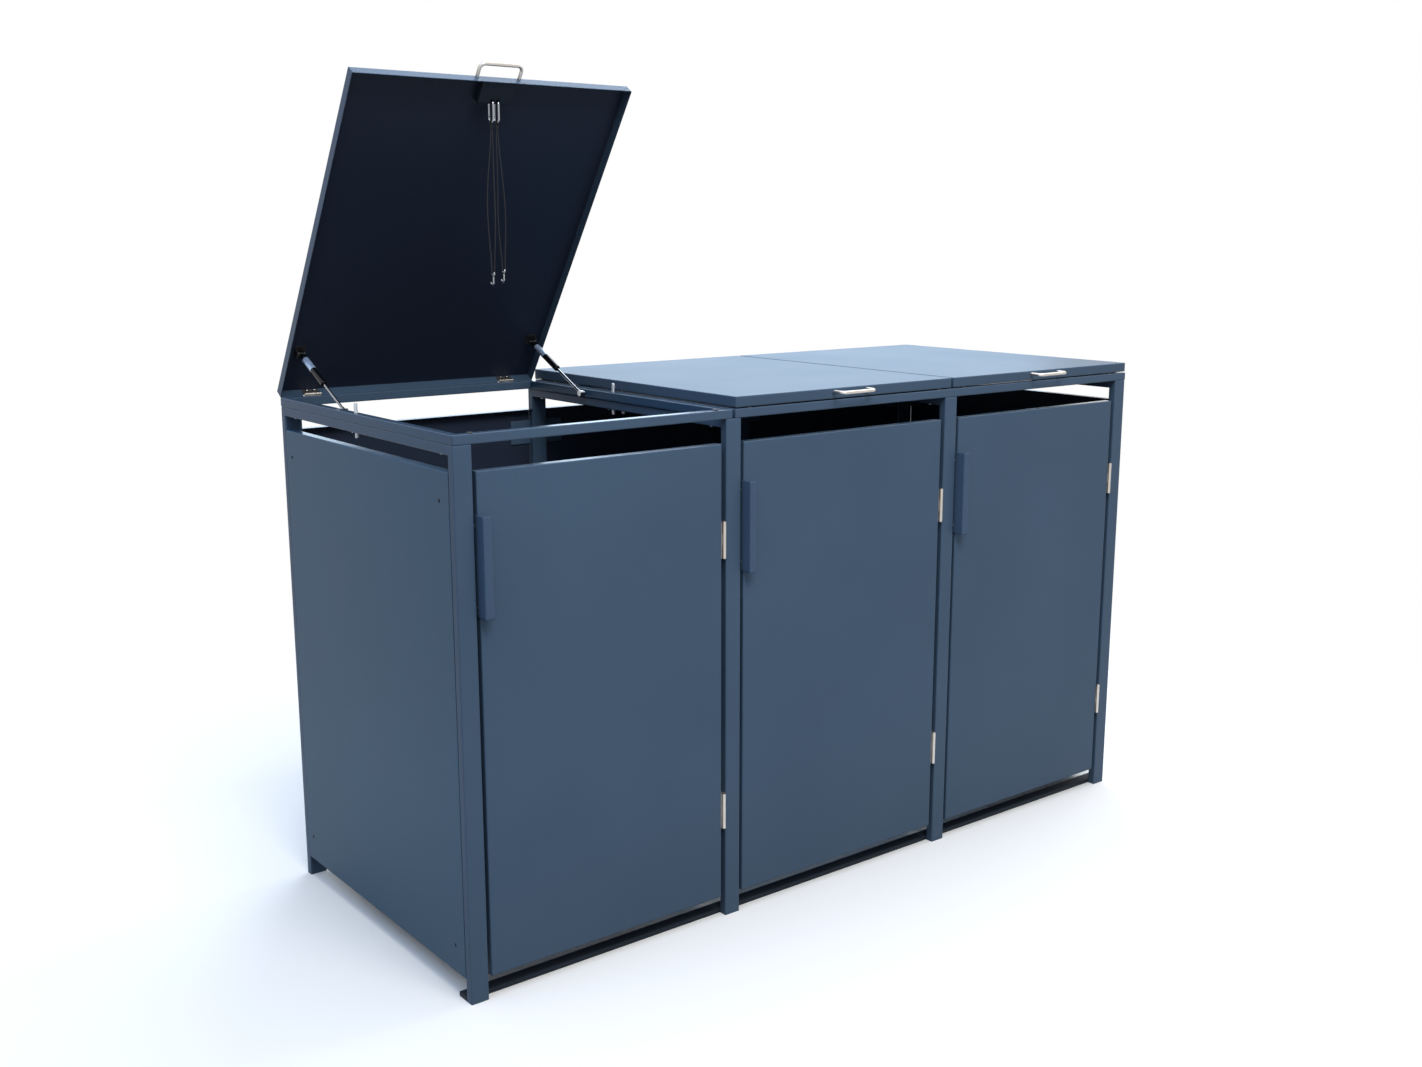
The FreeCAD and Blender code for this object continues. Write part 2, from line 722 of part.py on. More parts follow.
def lid(number):
    tilted = number == 1
    left = lid_left(number)
    right = f"{left} + ({LID_WIDTH})"
    centre = f"{left} + ({LID_WIDTH}) / 2"
    body = rounded(box((left, right), ("0", LID_DEPTH), (LID_EDGE, LID_TOP)), "bend", outer_lid_bends)
    hollow = box((f"{left} + plate", f"{right} - plate"), ("plate", f"{LID_DEPTH} - plate"),
                 (f"{LID_EDGE} - 1", f"{LID_TOP} - plate"))
    tray = cut(body, hollow, *hinge_notches(number))
    node("lid_%d" % number, joined(tray, *rear_edge(number)), tilted=tilted)

    height = f"{LID_LOW} + bar_up"
    legs = [f"{centre} - bar_span / 2", f"{centre} + bar_span / 2"]
    corners = [f"{legs[0]} + bar_bend", f"{legs[1]} - bar_bend"]
    grip = round_bar("x", corners[0], corners[1], "-bar_reach", height, "grip_bar")
    posts = [round_bar("y", "bar_bend - bar_reach", "0", x, height, "grip_bar") for x in legs]
    bends = [bent_bar((x, "bar_bend - bar_reach", height), (side, 0, 0), (0, -1, 0), "bar_bend",
                      "grip_bar", 90) for x, side in zip(corners, (-1, 1))]
    node("lid_handle_%d" % number, joined(grip, *posts, *bends), tilted=tilted)

    half = "bracket_width / 2"
    shell = box((f"{centre} - {half}", f"{centre} + {half}"), ("plate", "bracket_back"),
                (LID_LOW, f"{LID_TOP} - plate"))
    room = box((f"{centre} - {half} + plate", f"{centre} + {half} - plate"),
               ("2 * plate", "bracket_back + 1"), (f"{LID_LOW} + plate", LID_TOP))
    holes = [round_bar("z", f"{LID_LOW} - 1", f"{LID_LOW} + plate + 1", f"{centre} {side} hook_spread",
                       "bracket_back - hook_hole_inset", "hook_hole") for side in "-+"]
    node("lid_bracket_%d" % number, cut(shell, room, *holes), tilted=tilted)

    inner = f"{LID_DEPTH} - plate"
    leaves = []
    fixings = []
    for start, end in hinge_spans(number):
        knuckle = middle_knuckle(start)
        above = f"{AXIS_Z} + lid_barrel + lid_leaf_clear"
        plate = box((start, end), (f"{inner} - leaf", inner), (above, f"{LID_LOW} + lid_leaf_top"))
        web = box(knuckle, (f"{inner} - leaf", inner), (AXIS_Z, above))
        barrel = round_bar("x", *knuckle, AXIS_Y, AXIS_Z, "lid_barrel")
        bore = round_bar("x", start, end, AXIS_Y, AXIS_Z, "lid_pin + running_play")
        leaves.append(cut(joined(plate, web, barrel), bore))
        for x in (f"{start} + bolt_inset", f"{end} - bolt_inset"):
            fixings.append(round_bar("y", f"{inner} - leaf - bolt_rise", f"{inner} - leaf", x,
                                     f"{LID_LOW} + bolt_up", "bolt_head"))
    node("lid_hinge_leaves_%d" % number, *leaves, tilted=tilted)

    y, z = LID_PIVOT
    for face, sign in strut_planes(number):
        def across(near, far):
            ends = [f"{face} {sign} (strut_inset + {near})", f"{face} {sign} (strut_inset + {far})"]
            return ends if sign == "+" else ends[::-1]

        foot = box(across("-ear_off - ear_plate", "foot_width - ear_off - ear_plate"),
                   (f"{y} - foot_half", f"{y} + foot_half"),
                   (f"{LID_TOP} - plate - ear_plate", f"{LID_TOP} - plate"))
        ear = box(across("-ear_off - ear_plate", "-ear_off"), (f"{y} - ear_half", f"{y} + ear_half"),
                  (f"{LID_LOW} + 0.5", f"{LID_TOP} - plate"))
        shoulder = round_bar("x", *across("-ear_off", "-socket_width / 2 - stud_play"), y, z,
                             "shoulder")
        stud = round_bar("x", *across("-ear_off", "socket_width / 2 + stud_play"), y, z,
                         "strut_pin")
        head = round_bar("x", *across("socket_width / 2 + stud_play",
                                      "socket_width / 2 + stud_play + ear_plate"), y, z,
                         "shoulder")
        fixings.append(joined(foot, ear, shoulder, stud, head))
    node("lid_fixings_%d" % number, *fixings, tilted=tilted)


for number in (1, 2, 3):
    lid(number)


def lid_hinge_frame_leaves():
    """Leaves on the back of the top frames with the outer knuckles and the pins."""
    leaves = []
    for number in (1, 2, 3):
        for start, end in hinge_spans(number):
            knuckle = middle_knuckle(start)
            ends = [(start, f"{knuckle[0]} - knuckle_gap"), (f"{knuckle[1]} + knuckle_gap", end)]
            depth = ("frame_depth", "frame_depth + leaf")
            below = f"{AXIS_Z} - lid_barrel - lid_leaf_clear"
            plate = box((start, end), depth, (f"{FRAME_TOP} - frame_leaf_drop", below))
            webs = [box(part, depth, (below, AXIS_Z)) for part in ends]
            barrels = [round_bar("x", *part, AXIS_Y, AXIS_Z, "lid_barrel") for part in ends]
            bore = round_bar("x", start, end, AXIS_Y, AXIS_Z, "lid_pin")
            leaves.append(cut(joined(plate, *webs, *barrels), bore))
            leaves.append(round_bar("x", f"{start} - 0.8", f"{end} + 0.8", AXIS_Y, AXIS_Z, "lid_pin"))
    node("lid_hinge_frame_leaves", *leaves)


lid_hinge_frame_leaves()


def lid_buffers():
    """Low rubber pads on the front rail, just under the lids' front edges."""
    pads = []
    for number in (1, 2, 3):
        left = lid_left(number)
        for x in (f"{left} + buffer_inset", f"{left} + ({LID_WIDTH}) - buffer_inset"):
            pad = round_bar("z", FRAME_TOP, f"{LID_EDGE} - buffer_play", x, "buffer_back", "buffer")
            pads.append(rounded(pad, "buffer_round",
                                 lambda d, m, b: abs(m.z - b.ZMax) < 0.1))
    node("lid_buffers", *pads)


lid_buffers()


def strut_pieces(number):
    """The gas struts of one lid, built along -Y from the lid pivot and then swung to the frame pivot."""
    lid_y, lid_z = opened(*LID_PIVOT) if number == 1 else LID_PIVOT
    frame_y, frame_z = FRAME_PIVOT
    reach = f"sqrt((({lid_y}) - ({frame_y})) ^ 2 + (({lid_z}) - ({frame_z})) ^ 2)"
    cylinders = []
    rods = []
    for face, sign in strut_planes(number):
        plane = f"{face} {sign} strut_inset"
        near = f"{face} {sign} stud_play"
        wide = (f"{plane} - socket_width / 2", f"{plane} + socket_width / 2")
        end = "cylinder_start + cylinder_length"

        eye = round_bar("x", *wide, "0", "0", "socket")
        neck = round_bar("y", "-neck_length", "0", plane, "0", "neck")
        tube = rounded(round_bar("y", f"-({end})", "-cylinder_start", plane, "0", "cylinder"),
                       "1", lambda d, m, b: True)
        pin_bore = round_bar("x", f"{wide[0]} - 1", f"{wide[1]} + 1", "0", "0",
                             "strut_pin + running_play")
        rod_bore = round_bar("y", f"-({end}) - 1", f"rod_bore - ({end})", plane, "0",
                             "rod + running_play")
        cylinders.append(cut(joined(eye, neck, tube), pin_bore, rod_bore))

        far = f"-({reach})"
        eye = round_bar("x", *wide, far, "0", "socket")
        neck = round_bar("y", far, f"{far} + neck_length", plane, "0", "neck")
        rod = round_bar("y", far, f"{far} + rod_length", plane, "0", "rod")
        ends = (near, plane) if sign == "+" else (plane, near)
        stud = round_bar("x", *ends, far, "0", "strut_pin")
        rods.append(joined(eye, neck, rod, stud))
    return lid_y, lid_z, cylinders, rods


for number in (1, 2, 3):
    lid_y, lid_z, cylinders, rods = strut_pieces(number)
    frame_y, frame_z = FRAME_PIVOT
    slope = f"atan2(({lid_z}) - ({frame_z}); ({lid_y}) - ({frame_y}))"
    for label, pieces in (("strut_cylinders", cylinders), ("strut_rods", rods)):
        swung = node("%s_%d" % (label, number), *pieces)
        swung.Placement.Rotation = FreeCAD.Rotation(FreeCAD.Vector(1, 0, 0), 1)
        swung.setExpression("Placement.Rotation.Angle", ex(slope))
        swung.setExpression("Placement.Rotation.Axis.x", "1")
        swung.setExpression("Placement.Rotation.Axis.z", "0")
        swung.setExpression("Placement.Base.y", ex(f"({lid_y}) - ({MIDDLE})"))
        swung.setExpression("Placement.Base.z", ex(lid_z))


# Snap hooks in the open lid's bracket. Each turns about the centre of its upper bend, so its
# wire slides round through the bracket's hole, and it always hangs plumb.
HOOK_SEAT = "bracket_back - hook_hole_inset + hook_hole - hook_play - hook_wire"
HOOK_Y, HOOK_Z = opened(f"{HOOK_SEAT} + hook_ring", f"{LID_LOW} + plate / 2")
HOOK_X = [f"lid_inset + ({LID_WIDTH}) / 2 {side} hook_spread" for side in "-+"]


def snap_hooks():
    hooks = []
    gates = []
    front = f"{HOOK_Y} - hook_ring"
    rear = f"{HOOK_Y} + hook_ring"
    low = f"{HOOK_Z} - hook_straight"
    pivot = f"{HOOK_Z} - gate_pivot"
    for x in HOOK_X:
        top = bent_bar((x, HOOK_Y, HOOK_Z), (0, 1, 0), (0, 0, 1), "hook_ring", "hook_wire", 180)
        bottom = bent_bar((x, HOOK_Y, low), (0, -1, 0), (0, 0, -1), "hook_ring", "hook_wire", 180)
        back = round_bar("z", low, HOOK_Z, x, front, "hook_wire")
        upper = round_bar("z", f"{HOOK_Z} - gate_top", HOOK_Z, x, rear, "hook_wire")
        lower = round_bar("z", low, f"{pivot} - gate - gate_play", x, rear, "hook_wire")
        hooks.append(joined(top, bottom, back, upper, lower))
        stem = round_bar("z", pivot, f"{HOOK_Z} - gate_top - gate_play", x, rear, "gate")
        gates.append(joined(stem, ball(x, rear, pivot, "gate")))
    node("snap_hooks", *hooks)
    node("snap_gates", *gates)


snap_hooks()


KNOT_Z = f"{HOOK_Z} - hook_straight - hook_ring"
KNOT_LOW = f"{KNOT_Z} - hook_wire - cord - knot_play - knot_length"


def cord_knots():
    """Each cord's turn round its hook's lower bend, with the knot under it."""
    knots = []
    for x in HOOK_X:
        turn = bent_bar((x, HOOK_Y, KNOT_Z), (1, 0, 0), (0, 0, 1), "hook_wire + cord + knot_play",
                        "cord", 360)
        knot = round_bar("z", KNOT_LOW, f"{KNOT_LOW} + knot_length", x, HOOK_Y, "knot")
        soft = rounded(knot, "knot / 3", lambda d, m, b: True)
        knots.append(joined(turn, soft))
    node("cord_knots", *knots)


cord_knots()


# Each cord is doubled: from the knot down, round the clip's eye, and back up to the knot.
# Points from the middle of the knot's lower face, in mm. They stay as chosen.
CORD_LEFT = [
    (-1.6, 0.0, 0.0), (-2.6, 0.8, -30.0), (-7.0, 3.2, -76.0), (-11.6, 4.6, -126.0),
    (-13.8, 3.0, -177.0), (-12.6, 0.6, -226.0), (-10.4, -0.8, -262.0), (-9.7, -1.0, -283.0),
    (-9.5, -1.0, -294.0), (-9.5, -1.0, -301.5), (-2.5, -1.0, -301.5), (-2.5, -1.0, -294.0),
    (-2.6, -1.2, -283.0), (-2.0, -2.6, -260.0), (-0.4, -4.8, -220.0), (0.4, -5.6, -170.0),
    (-0.2, -4.2, -120.0), (1.2, -1.8, -72.0), (1.9, -0.4, -30.0), (1.6, 0.0, 0.0),
]
CORD_RIGHT = [
    (1.6, 0.0, 0.0), (2.4, -0.9, -32.0), (6.2, -3.0, -80.0), (10.8, -3.6, -130.0),
    (14.6, -1.6, -178.0), (15.0, 1.4, -224.0), (13.4, 2.6, -258.0), (12.7, 2.8, -278.0),
    (12.5, 2.8, -288.5), (12.5, 2.8, -296.0), (5.5, 2.8, -296.0), (5.5, 2.8, -288.5),
    (5.6, 3.1, -278.0), (4.6, 4.6, -256.0), (2.0, 6.8, -216.0), (0.4, 6.6, -168.0),
    (0.8, 4.4, -120.0), (-0.8, 1.6, -74.0), (-1.9, 0.4, -32.0), (-1.6, 0.0, 0.0),
]
SHARE = 0.45


def cord_path(points):
    """Straight runs joined by tangent arcs, each as large as its two runs allow."""
    edges = []
    radii = []
    start = points[0]
    for before, corner, after in zip(points, points[1:], points[2:]):
        back = before - corner
        ahead = after - corner
        reach = SHARE * min(back.Length, ahead.Length)
        turn = math.pi - back.getAngle(ahead)
        radii.append(reach / math.tan(turn / 2))
        back.normalize()
        ahead.normalize()
        first = corner + back * reach
        last = corner + ahead * reach
        inward = back + ahead
        inward.normalize()
        centre = corner + inward * (radii[-1] / math.cos(turn / 2))
        middle = centre - inward * radii[-1]
        edges.append(Part.LineSegment(start, first).toShape())
        edges.append(Part.Arc(first, middle, last).toShape())
        start = last
    edges.append(Part.LineSegment(start, points[-1]).toShape())
    return Part.Wire(edges), radii


def cord(label, x, route):
    """The tube of one doubled cord, with its own shape because its path is a free line."""
    origin = FreeCAD.Vector(value(x), value(HOOK_Y), value(KNOT_LOW))
    points = [origin + FreeCAD.Vector(*point) for point in route]
    path, radii = cord_path(points)
    ring = Part.Wire(Part.makeCircle(value("cord"), points[0], points[1] - points[0]))
    tube = path.makePipeShell([ring], True, False)
    wanted = math.pi * value("cord") ** 2 * path.Length
    print(label, "length %.1f" % path.Length, "volume share %.4f" % (tube.Volume / wanted))
    print(label, "radii", " ".join("%.1f" % radius for radius in radii))
    obj = doc.addObject("Part::Feature", label)
    obj.Label = label
    obj.Shape = tube
    obj.Placement.Base = FreeCAD.Vector(-value(TOTAL) / 2, -value(MIDDLE), 0)
    NODES.append(obj)


cord("cord_left", HOOK_X[0], CORD_LEFT)
cord("cord_right", HOOK_X[1], CORD_RIGHT)


def cord_clips():
    """A wire hook on the end of each cord, its eye hung in the cord's lower turn."""
    clips = []
    for x, route in zip(HOOK_X, (CORD_LEFT, CORD_RIGHT)):
        lowest = [point for point in route if point[2] == min(p[2] for p in route)]
        middle_x = sum(point[0] for point in lowest) / 2
        inset = SHARE * (max(p[0] for p in lowest) - min(p[0] for p in lowest))
        across = f"{x} + {middle_x}"
        back = f"{HOOK_Y} + {lowest[0][1]}"
        eye_top = f"{KNOT_LOW} + {lowest[0][2]} + {inset}"
        eye = bent_bar((across, back, f"{eye_top} - clip_eye"), (0, 1, 0), (0, 0, 1), "clip_eye",
                       "clip_wire", 360)
        shank_top = f"{eye_top} - 2 * clip_eye"
        shank = round_bar("z", f"{shank_top} - clip_shank", shank_top, across, back, "clip_wire")
        hook = bent_bar((across, f"{back} + clip_hook", f"{shank_top} - clip_shank"), (0, -1, 0),
                        (0, 0, -1), "clip_hook", "clip_wire", 200)
        clips.append(joined(eye, shank, hook))
    node("cord_clips", *clips)


cord_clips()

doc.recompute()
faults = [obj.Label for obj in doc.Objects if {"Invalid", "Error"} & set(obj.State)]
faults += [obj.Label for obj in NODES if obj.Shape.isNull() or not obj.Shape.isValid()]
if faults:
    raise RuntimeError("these did not build: %s" % faults)
os.makedirs("parts", exist_ok=True)
for obj in NODES:
    obj.Shape.exportStep("parts/%s.step" % obj.Label)
print(len(NODES), "sub-parts")
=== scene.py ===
import json
import math

import bpy
import numpy as np
from mathutils import Matrix, Vector


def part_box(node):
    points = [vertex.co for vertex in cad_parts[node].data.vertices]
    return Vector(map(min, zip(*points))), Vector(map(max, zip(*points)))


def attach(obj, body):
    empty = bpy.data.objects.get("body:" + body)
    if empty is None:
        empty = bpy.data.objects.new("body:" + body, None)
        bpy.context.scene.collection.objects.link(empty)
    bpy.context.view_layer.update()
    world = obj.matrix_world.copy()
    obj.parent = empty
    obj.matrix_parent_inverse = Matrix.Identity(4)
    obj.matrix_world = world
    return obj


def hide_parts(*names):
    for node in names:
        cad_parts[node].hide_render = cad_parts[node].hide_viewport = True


# Three-bay wheelie bin store in anthracite powder-coated steel, its left lid standing open.
# Metres, in the frame's axes: X along the bays, Y to the back, Z up.

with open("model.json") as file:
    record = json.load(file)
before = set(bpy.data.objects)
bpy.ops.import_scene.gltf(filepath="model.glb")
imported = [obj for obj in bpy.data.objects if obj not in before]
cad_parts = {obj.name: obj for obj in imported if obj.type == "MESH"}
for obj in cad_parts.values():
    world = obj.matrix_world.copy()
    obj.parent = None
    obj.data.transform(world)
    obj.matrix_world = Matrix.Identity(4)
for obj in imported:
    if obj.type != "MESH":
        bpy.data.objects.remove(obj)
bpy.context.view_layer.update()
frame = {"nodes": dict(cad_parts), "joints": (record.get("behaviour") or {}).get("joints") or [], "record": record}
MM = 0.001
UP = Vector((0, 0, 1))

# Camera, solved from the store's own edges and placed from the left frame's front foot
CAMERA_FROM_FOOT = Vector((-1.3072, -2.4456, 1.5235))
CAMERA_TURN = math.radians(38.07)
CAMERA_DOWN = math.radians(11.55)
CAMERA_LENS = 37.68


def make_camera():
    """The camera at the photograph's viewing angle."""
    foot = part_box("side_frame_left")[0]
    data = bpy.data.cameras.new("camera")
    data.lens = CAMERA_LENS
    camera = bpy.data.objects.new("camera", data)
    camera.location = Vector((foot.x, foot.y, 0)) + CAMERA_FROM_FOOT
    camera.rotation_euler = (math.pi / 2 - CAMERA_DOWN, 0, -CAMERA_TURN)
    bpy.context.collection.objects.link(camera)
    bpy.context.scene.camera = camera


make_camera()


# Shapes: each is a list of points and a list of faces, and several make one piece.
# CAD points that agree to six decimals of a metre are one point. Places are put in order by four.
SAME_POINT_DECIMALS = 6
SAME_PLACE_DECIMALS = 4
LATHE_SIDES = 28
SHARP_FOLD = math.radians(38)


def solids(node):
    """The box of each separate solid of a CAD node, from left to right."""
    mesh = frame["nodes"][node].data
    group = list(range(len(mesh.vertices)))

    def first_of(i):
        while group[i] != i:
            group[i] = group[group[i]]
            i = group[i]
        return i

    seen = {}
    for vertex in mesh.vertices:
        key = tuple(round(c, SAME_POINT_DECIMALS) for c in vertex.co)
        group[vertex.index] = seen.setdefault(key, vertex.index)
    for edge in mesh.edges:
        group[first_of(edge.vertices[0])] = first_of(edge.vertices[1])
    found = {}
    for vertex in mesh.vertices:
        found.setdefault(first_of(vertex.index), []).append(vertex.co)
    boxes = [(Vector(map(min, zip(*points))), Vector(map(max, zip(*points))))
             for points in found.values()]
    return sorted(boxes, key=lambda box: tuple(round(c, SAME_PLACE_DECIMALS) for c in box[0]))


def across(along):
    """Two directions square to along and to each other."""
    first = along.orthogonal().normalized()
    return first, along.cross(first)


def ring(middle, first, second, sides, reach):
    """Points round middle, from first towards second. reach gives each one's radius by its turn."""
    points = []
    for side in range(sides):
        turn = 2 * math.pi * side / sides
        out = first * math.cos(turn) + second * math.sin(turn)
        points.append(middle + out * reach(turn))
    return points


def skinned(rings, closed=True):
    """Points and faces of a skin over rings of equally many points."""
    sides = len(rings[0])
    points = [point for around in rings for point in around]
    faces = []
    for start in range(0, len(points) - sides, sides):
        for side in range(sides):
            beside = (side + 1) % sides
            faces.append((start + side, start + beside, start + beside + sides, start + side + sides))
    if closed:
        faces.append(tuple(reversed(range(sides))))
        faces.append(tuple(range(len(points) - sides, len(points))))
    return points, faces


def turned(base, along, profile, sides=LATHE_SIDES, closed=True):
    """A lathe shape: profile gives distances along the axis from base, each with its radius."""
    first, second = across(along)
    rings = [ring(base + along * distance, first, second, sides, lambda turn: radius)
             for distance, radius in profile]
    return skinned(rings, closed)


def tube(line, radius, sides):
    """A tube along line. radius gives its radius from the step and the turn about the line."""
    rings = []
    normal = None
    for step, point in enumerate(line):
        along = (line[min(step + 1, len(line) - 1)] - line[max(step - 1, 0)]).normalized()
        normal = normal or along.orthogonal()
        normal = (normal - along * normal.dot(along)).normalized()
        rings.append(ring(point, normal, along.cross(normal), sides, lambda turn: radius(step, turn)))
    return skinned(rings)


def piece(name, shapes, material, body, replaced=()):
    """One piece of several shapes that rides on a body and may stand for CAD nodes."""
    points = []
    faces = []
    for shape_points, shape_faces in shapes:
        faces += [tuple(i + len(points) for i in face) for face in shape_faces]
        points += [tuple(point) for point in shape_points]
    mesh = bpy.data.meshes.new(name)
    mesh.from_pydata(points, [], faces)
    mesh.shade_smooth()
    mesh.set_sharp_from_angle(angle=SHARP_FOLD)
    mesh.materials.append(material)
    made = bpy.data.objects.new(name, mesh)
    bpy.context.collection.objects.link(made)
    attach(made, body)
    if replaced:
        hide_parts(*replaced)
    return made


# Materials


def linear(colour):
    """An sRGB hex colour as linear RGBA."""
    parts = [int(colour[i:i + 2], 16) / 255 for i in (1, 3, 5)]
    return (*[c / 12.92 if c <= 0.04045 else ((c + 0.055) / 1.055) ** 2.4 for c in parts], 1)


def add(tree, kind, settings=(), links=()):
    """A node with its settings, by attribute or socket, and its links, by socket."""
    made = tree.nodes.new(kind)
    for name, setting in dict(settings).items():
        if isinstance(name, str) and hasattr(made, name):
            setattr(made, name, setting)
        else:
            made.inputs[name].default_value = setting
    for socket, source in dict(links).items():
        tree.links.new(source, made.inputs[socket])
    return made.outputs


def surface(name, settings):
    """An empty material, its node tree, its shader and the place on the piece."""
    material = bpy.data.materials.new(name)
    material.use_nodes = True
    tree = material.node_tree
    tree.nodes.clear()
    shader = tree.nodes.new("ShaderNodeBsdfPrincipled")
    for socket, setting in settings.items():
        shader.inputs[socket].default_value = setting
    add(tree, "ShaderNodeOutputMaterial", links={0: shader.outputs[0]})
    return material, tree, shader, add(tree, "ShaderNodeTexCoord")["Object"]


# Powder coat. The flecks come from powder grains of about 0.05 mm, the peel is about 1.5 mm from
# bump to bump, and the coat rounds an edge by about 2 mm. None would show, so all are drawn coarser.
TONE_DRIFT = 400 * MM
FLECK = 6 * MM
PEEL = 5 * MM
PEEL_DEPTH = 0.05 * MM
SHEET_WAVE = 260 * MM
WAVE_DEPTH = 0.6 * MM
EDGE_ROUND = 4 * MM
# How high road dust reaches, and its grey: a little darker than the coat, so it also paints shade low down
LOW_DUST_AND_SHADE_TOP = 380 * MM
LOW_DUST_AND_SHADE = "#4e5358"


def powder_coat(name, colour, shade, roughness, level=0.0, facing=None, other=None):
    """Polyester powder coat baked on folded sheet and tube.

    Satin and even. The eye gets a slow drift of tone, a skin that is slightly uneven like orange
    peel, the thin sheet's long low waves, folds and cut edges that catch the light where the coat
    rounds them, and near the ground a greyer, slightly darker tone: a little road dust, and painted
    shade on the lower parts. Faces that look up, where the powder flowed level in the oven, are
    glossier by level. Faces that look along facing are painted the colour other, as painted light
    or shade on that side, such as the painted shade inside a deep tray.
    """
    material, tree, shader, place = surface(name, {"IOR": 1.5, "Specular IOR Level": 0.15,
                                                   "Coat Roughness": 0.15})
    drift = add(tree, "ShaderNodeTexNoise", {"Scale": 1 / TONE_DRIFT, "Detail": 3.0},
                {"Vector": place})["Fac"]
    fleck = add(tree, "ShaderNodeTexNoise", {"Scale": 1 / FLECK, "Detail": 2.0},
                {"Vector": place})["Fac"]
    tone = add(tree, "ShaderNodeMath", {"operation": "MULTIPLY_ADD", 1: 0.3}, {0: fleck, 2: drift})[0]
    even = add(tree, "ShaderNodeMapRange", {"From Min": 0.4, "From Max": 0.9}, {"Value": tone})[0]
    paint = add(tree, "ShaderNodeMix", {"data_type": "RGBA", 6: linear(colour), 7: linear(shade)},
                {0: even})[2]
    normal = add(tree, "ShaderNodeTexCoord")["Normal"]
    if level:
        upward = add(tree, "ShaderNodeSeparateXYZ", links={0: normal})["Z"]
        gloss = add(tree, "ShaderNodeMapRange", {"From Min": 0.5, "From Max": 0.9, "To Max": level},
                    {"Value": upward})[0]
        tree.links.new(gloss, shader.inputs["Coat Weight"])
    # Faces that look along facing take the colour other: painted light or shade on that side
    if facing:
        square = add(tree, "ShaderNodeVectorMath", {"operation": "DOT_PRODUCT", 1: facing},
                     {0: normal})["Value"]
        share = add(tree, "ShaderNodeMapRange", {"From Min": 0.9, "From Max": 1.0},
                    {"Value": square})[0]
        paint = add(tree, "ShaderNodeMix", {"data_type": "RGBA", 7: linear(other)},
                    {0: share, 6: paint})[2]
    # Towards the ground the coat turns greyer and a little darker: road dust, and painted shade
    height = add(tree, "ShaderNodeSeparateXYZ", links={0: place})["Z"]
    low = add(tree, "ShaderNodeMapRange", {"From Min": 0.0, "From Max": LOW_DUST_AND_SHADE_TOP,
                                           "To Min": 0.3, "To Max": 0.0}, {"Value": height})[0]
    spread = add(tree, "ShaderNodeMath", {"operation": "MULTIPLY"}, {0: low, 1: drift})[0]
    dusted_and_shaded = add(tree, "ShaderNodeMix", {"data_type": "RGBA", 7: linear(LOW_DUST_AND_SHADE)},
                {0: spread, 6: paint})[2]
    tree.links.new(dusted_and_shaded, shader.inputs["Base Color"])
    rough = add(tree, "ShaderNodeMapRange", {"To Min": roughness - 0.05, "To Max": roughness + 0.06},
                {"Value": drift})[0]
    dusty_rough = add(tree, "ShaderNodeMath", {"operation": "MULTIPLY_ADD", 1: 0.3},
                      {0: spread, 2: rough})[0]
    tree.links.new(dusty_rough, shader.inputs["Roughness"])
    peel = add(tree, "ShaderNodeTexNoise", {"Scale": 1 / PEEL, "Detail": 1.0},
               {"Vector": place})["Fac"]
    waves = add(tree, "ShaderNodeTexNoise", {"Scale": 1 / SHEET_WAVE, "Detail": 0.0},
                {"Vector": place})["Fac"]
    rounded = add(tree, "ShaderNodeBevel", {"samples": 6, "Radius": EDGE_ROUND})[0]
    long_waves = add(tree, "ShaderNodeBump", {"Strength": 1.0, "Distance": WAVE_DEPTH},
                     {"Height": waves, "Normal": rounded})[0]
    skin = add(tree, "ShaderNodeBump", {"Strength": 0.35, "Distance": PEEL_DEPTH},
               {"Height": peel, "Normal": long_waves})[0]
    tree.links.new(skin, shader.inputs["Normal"])
    return material


def brushed_stainless(name, along):
    """Stainless bar and strip, brushed along one direction.

    The eye gets a bright grey that smears along the brushing, its slight warmth partly the steel's
    own and partly a painted reflection of warm surroundings. The scratches are about 0.1 mm apart
    and are drawn at 0.7 mm, or they wouldn't show.
    """
    material, tree, shader, place = surface(name, {"Metallic": 1.0})
    drawn = add(tree, "ShaderNodeMapping", {"Scale": [0.03 if i == along else 1 for i in range(3)]},
                {"Vector": place})[0]
    scratch = add(tree, "ShaderNodeTexNoise", {"Scale": 1 / (0.7 * MM), "Detail": 3.0},
                  {"Vector": drawn})["Fac"]
    shade = add(tree, "ShaderNodeMix", {"data_type": "RGBA", 6: linear("#b3aba2"),
                                        7: linear("#ded9d2")}, {0: scratch})[2]
    tree.links.new(shade, shader.inputs["Base Color"])
    rough = add(tree, "ShaderNodeMapRange", {"To Min": 0.22, "To Max": 0.42}, {"Value": scratch})[0]
    tree.links.new(rough, shader.inputs["Roughness"])
    relief = add(tree, "ShaderNodeBump", {"Strength": 0.4, "Distance": 0.02 * MM},
                 {"Height": scratch})[0]
    tree.links.new(relief, shader.inputs["Normal"])
    return material


def zinc_plate():
    """Steel fasteners with bright zinc plate: cold grey, with cloudy patches of about 3 mm."""
    material, tree, shader, place = surface("bright_zinc_plate", {"Metallic": 1.0})
    cloud = add(tree, "ShaderNodeTexNoise", {"Scale": 1 / (3 * MM), "Detail": 3.0},
                {"Vector": place})["Fac"]
    shade = add(tree, "ShaderNodeMix", {"data_type": "RGBA", 6: linear("#c2c8d0"),
                                        7: linear("#e8ecf1")}, {0: cloud})[2]
    tree.links.new(shade, shader.inputs["Base Color"])
    rough = add(tree, "ShaderNodeMapRange", {"To Min": 0.2, "To Max": 0.42}, {"Value": cloud})[0]
    tree.links.new(rough, shader.inputs["Roughness"])
    return material


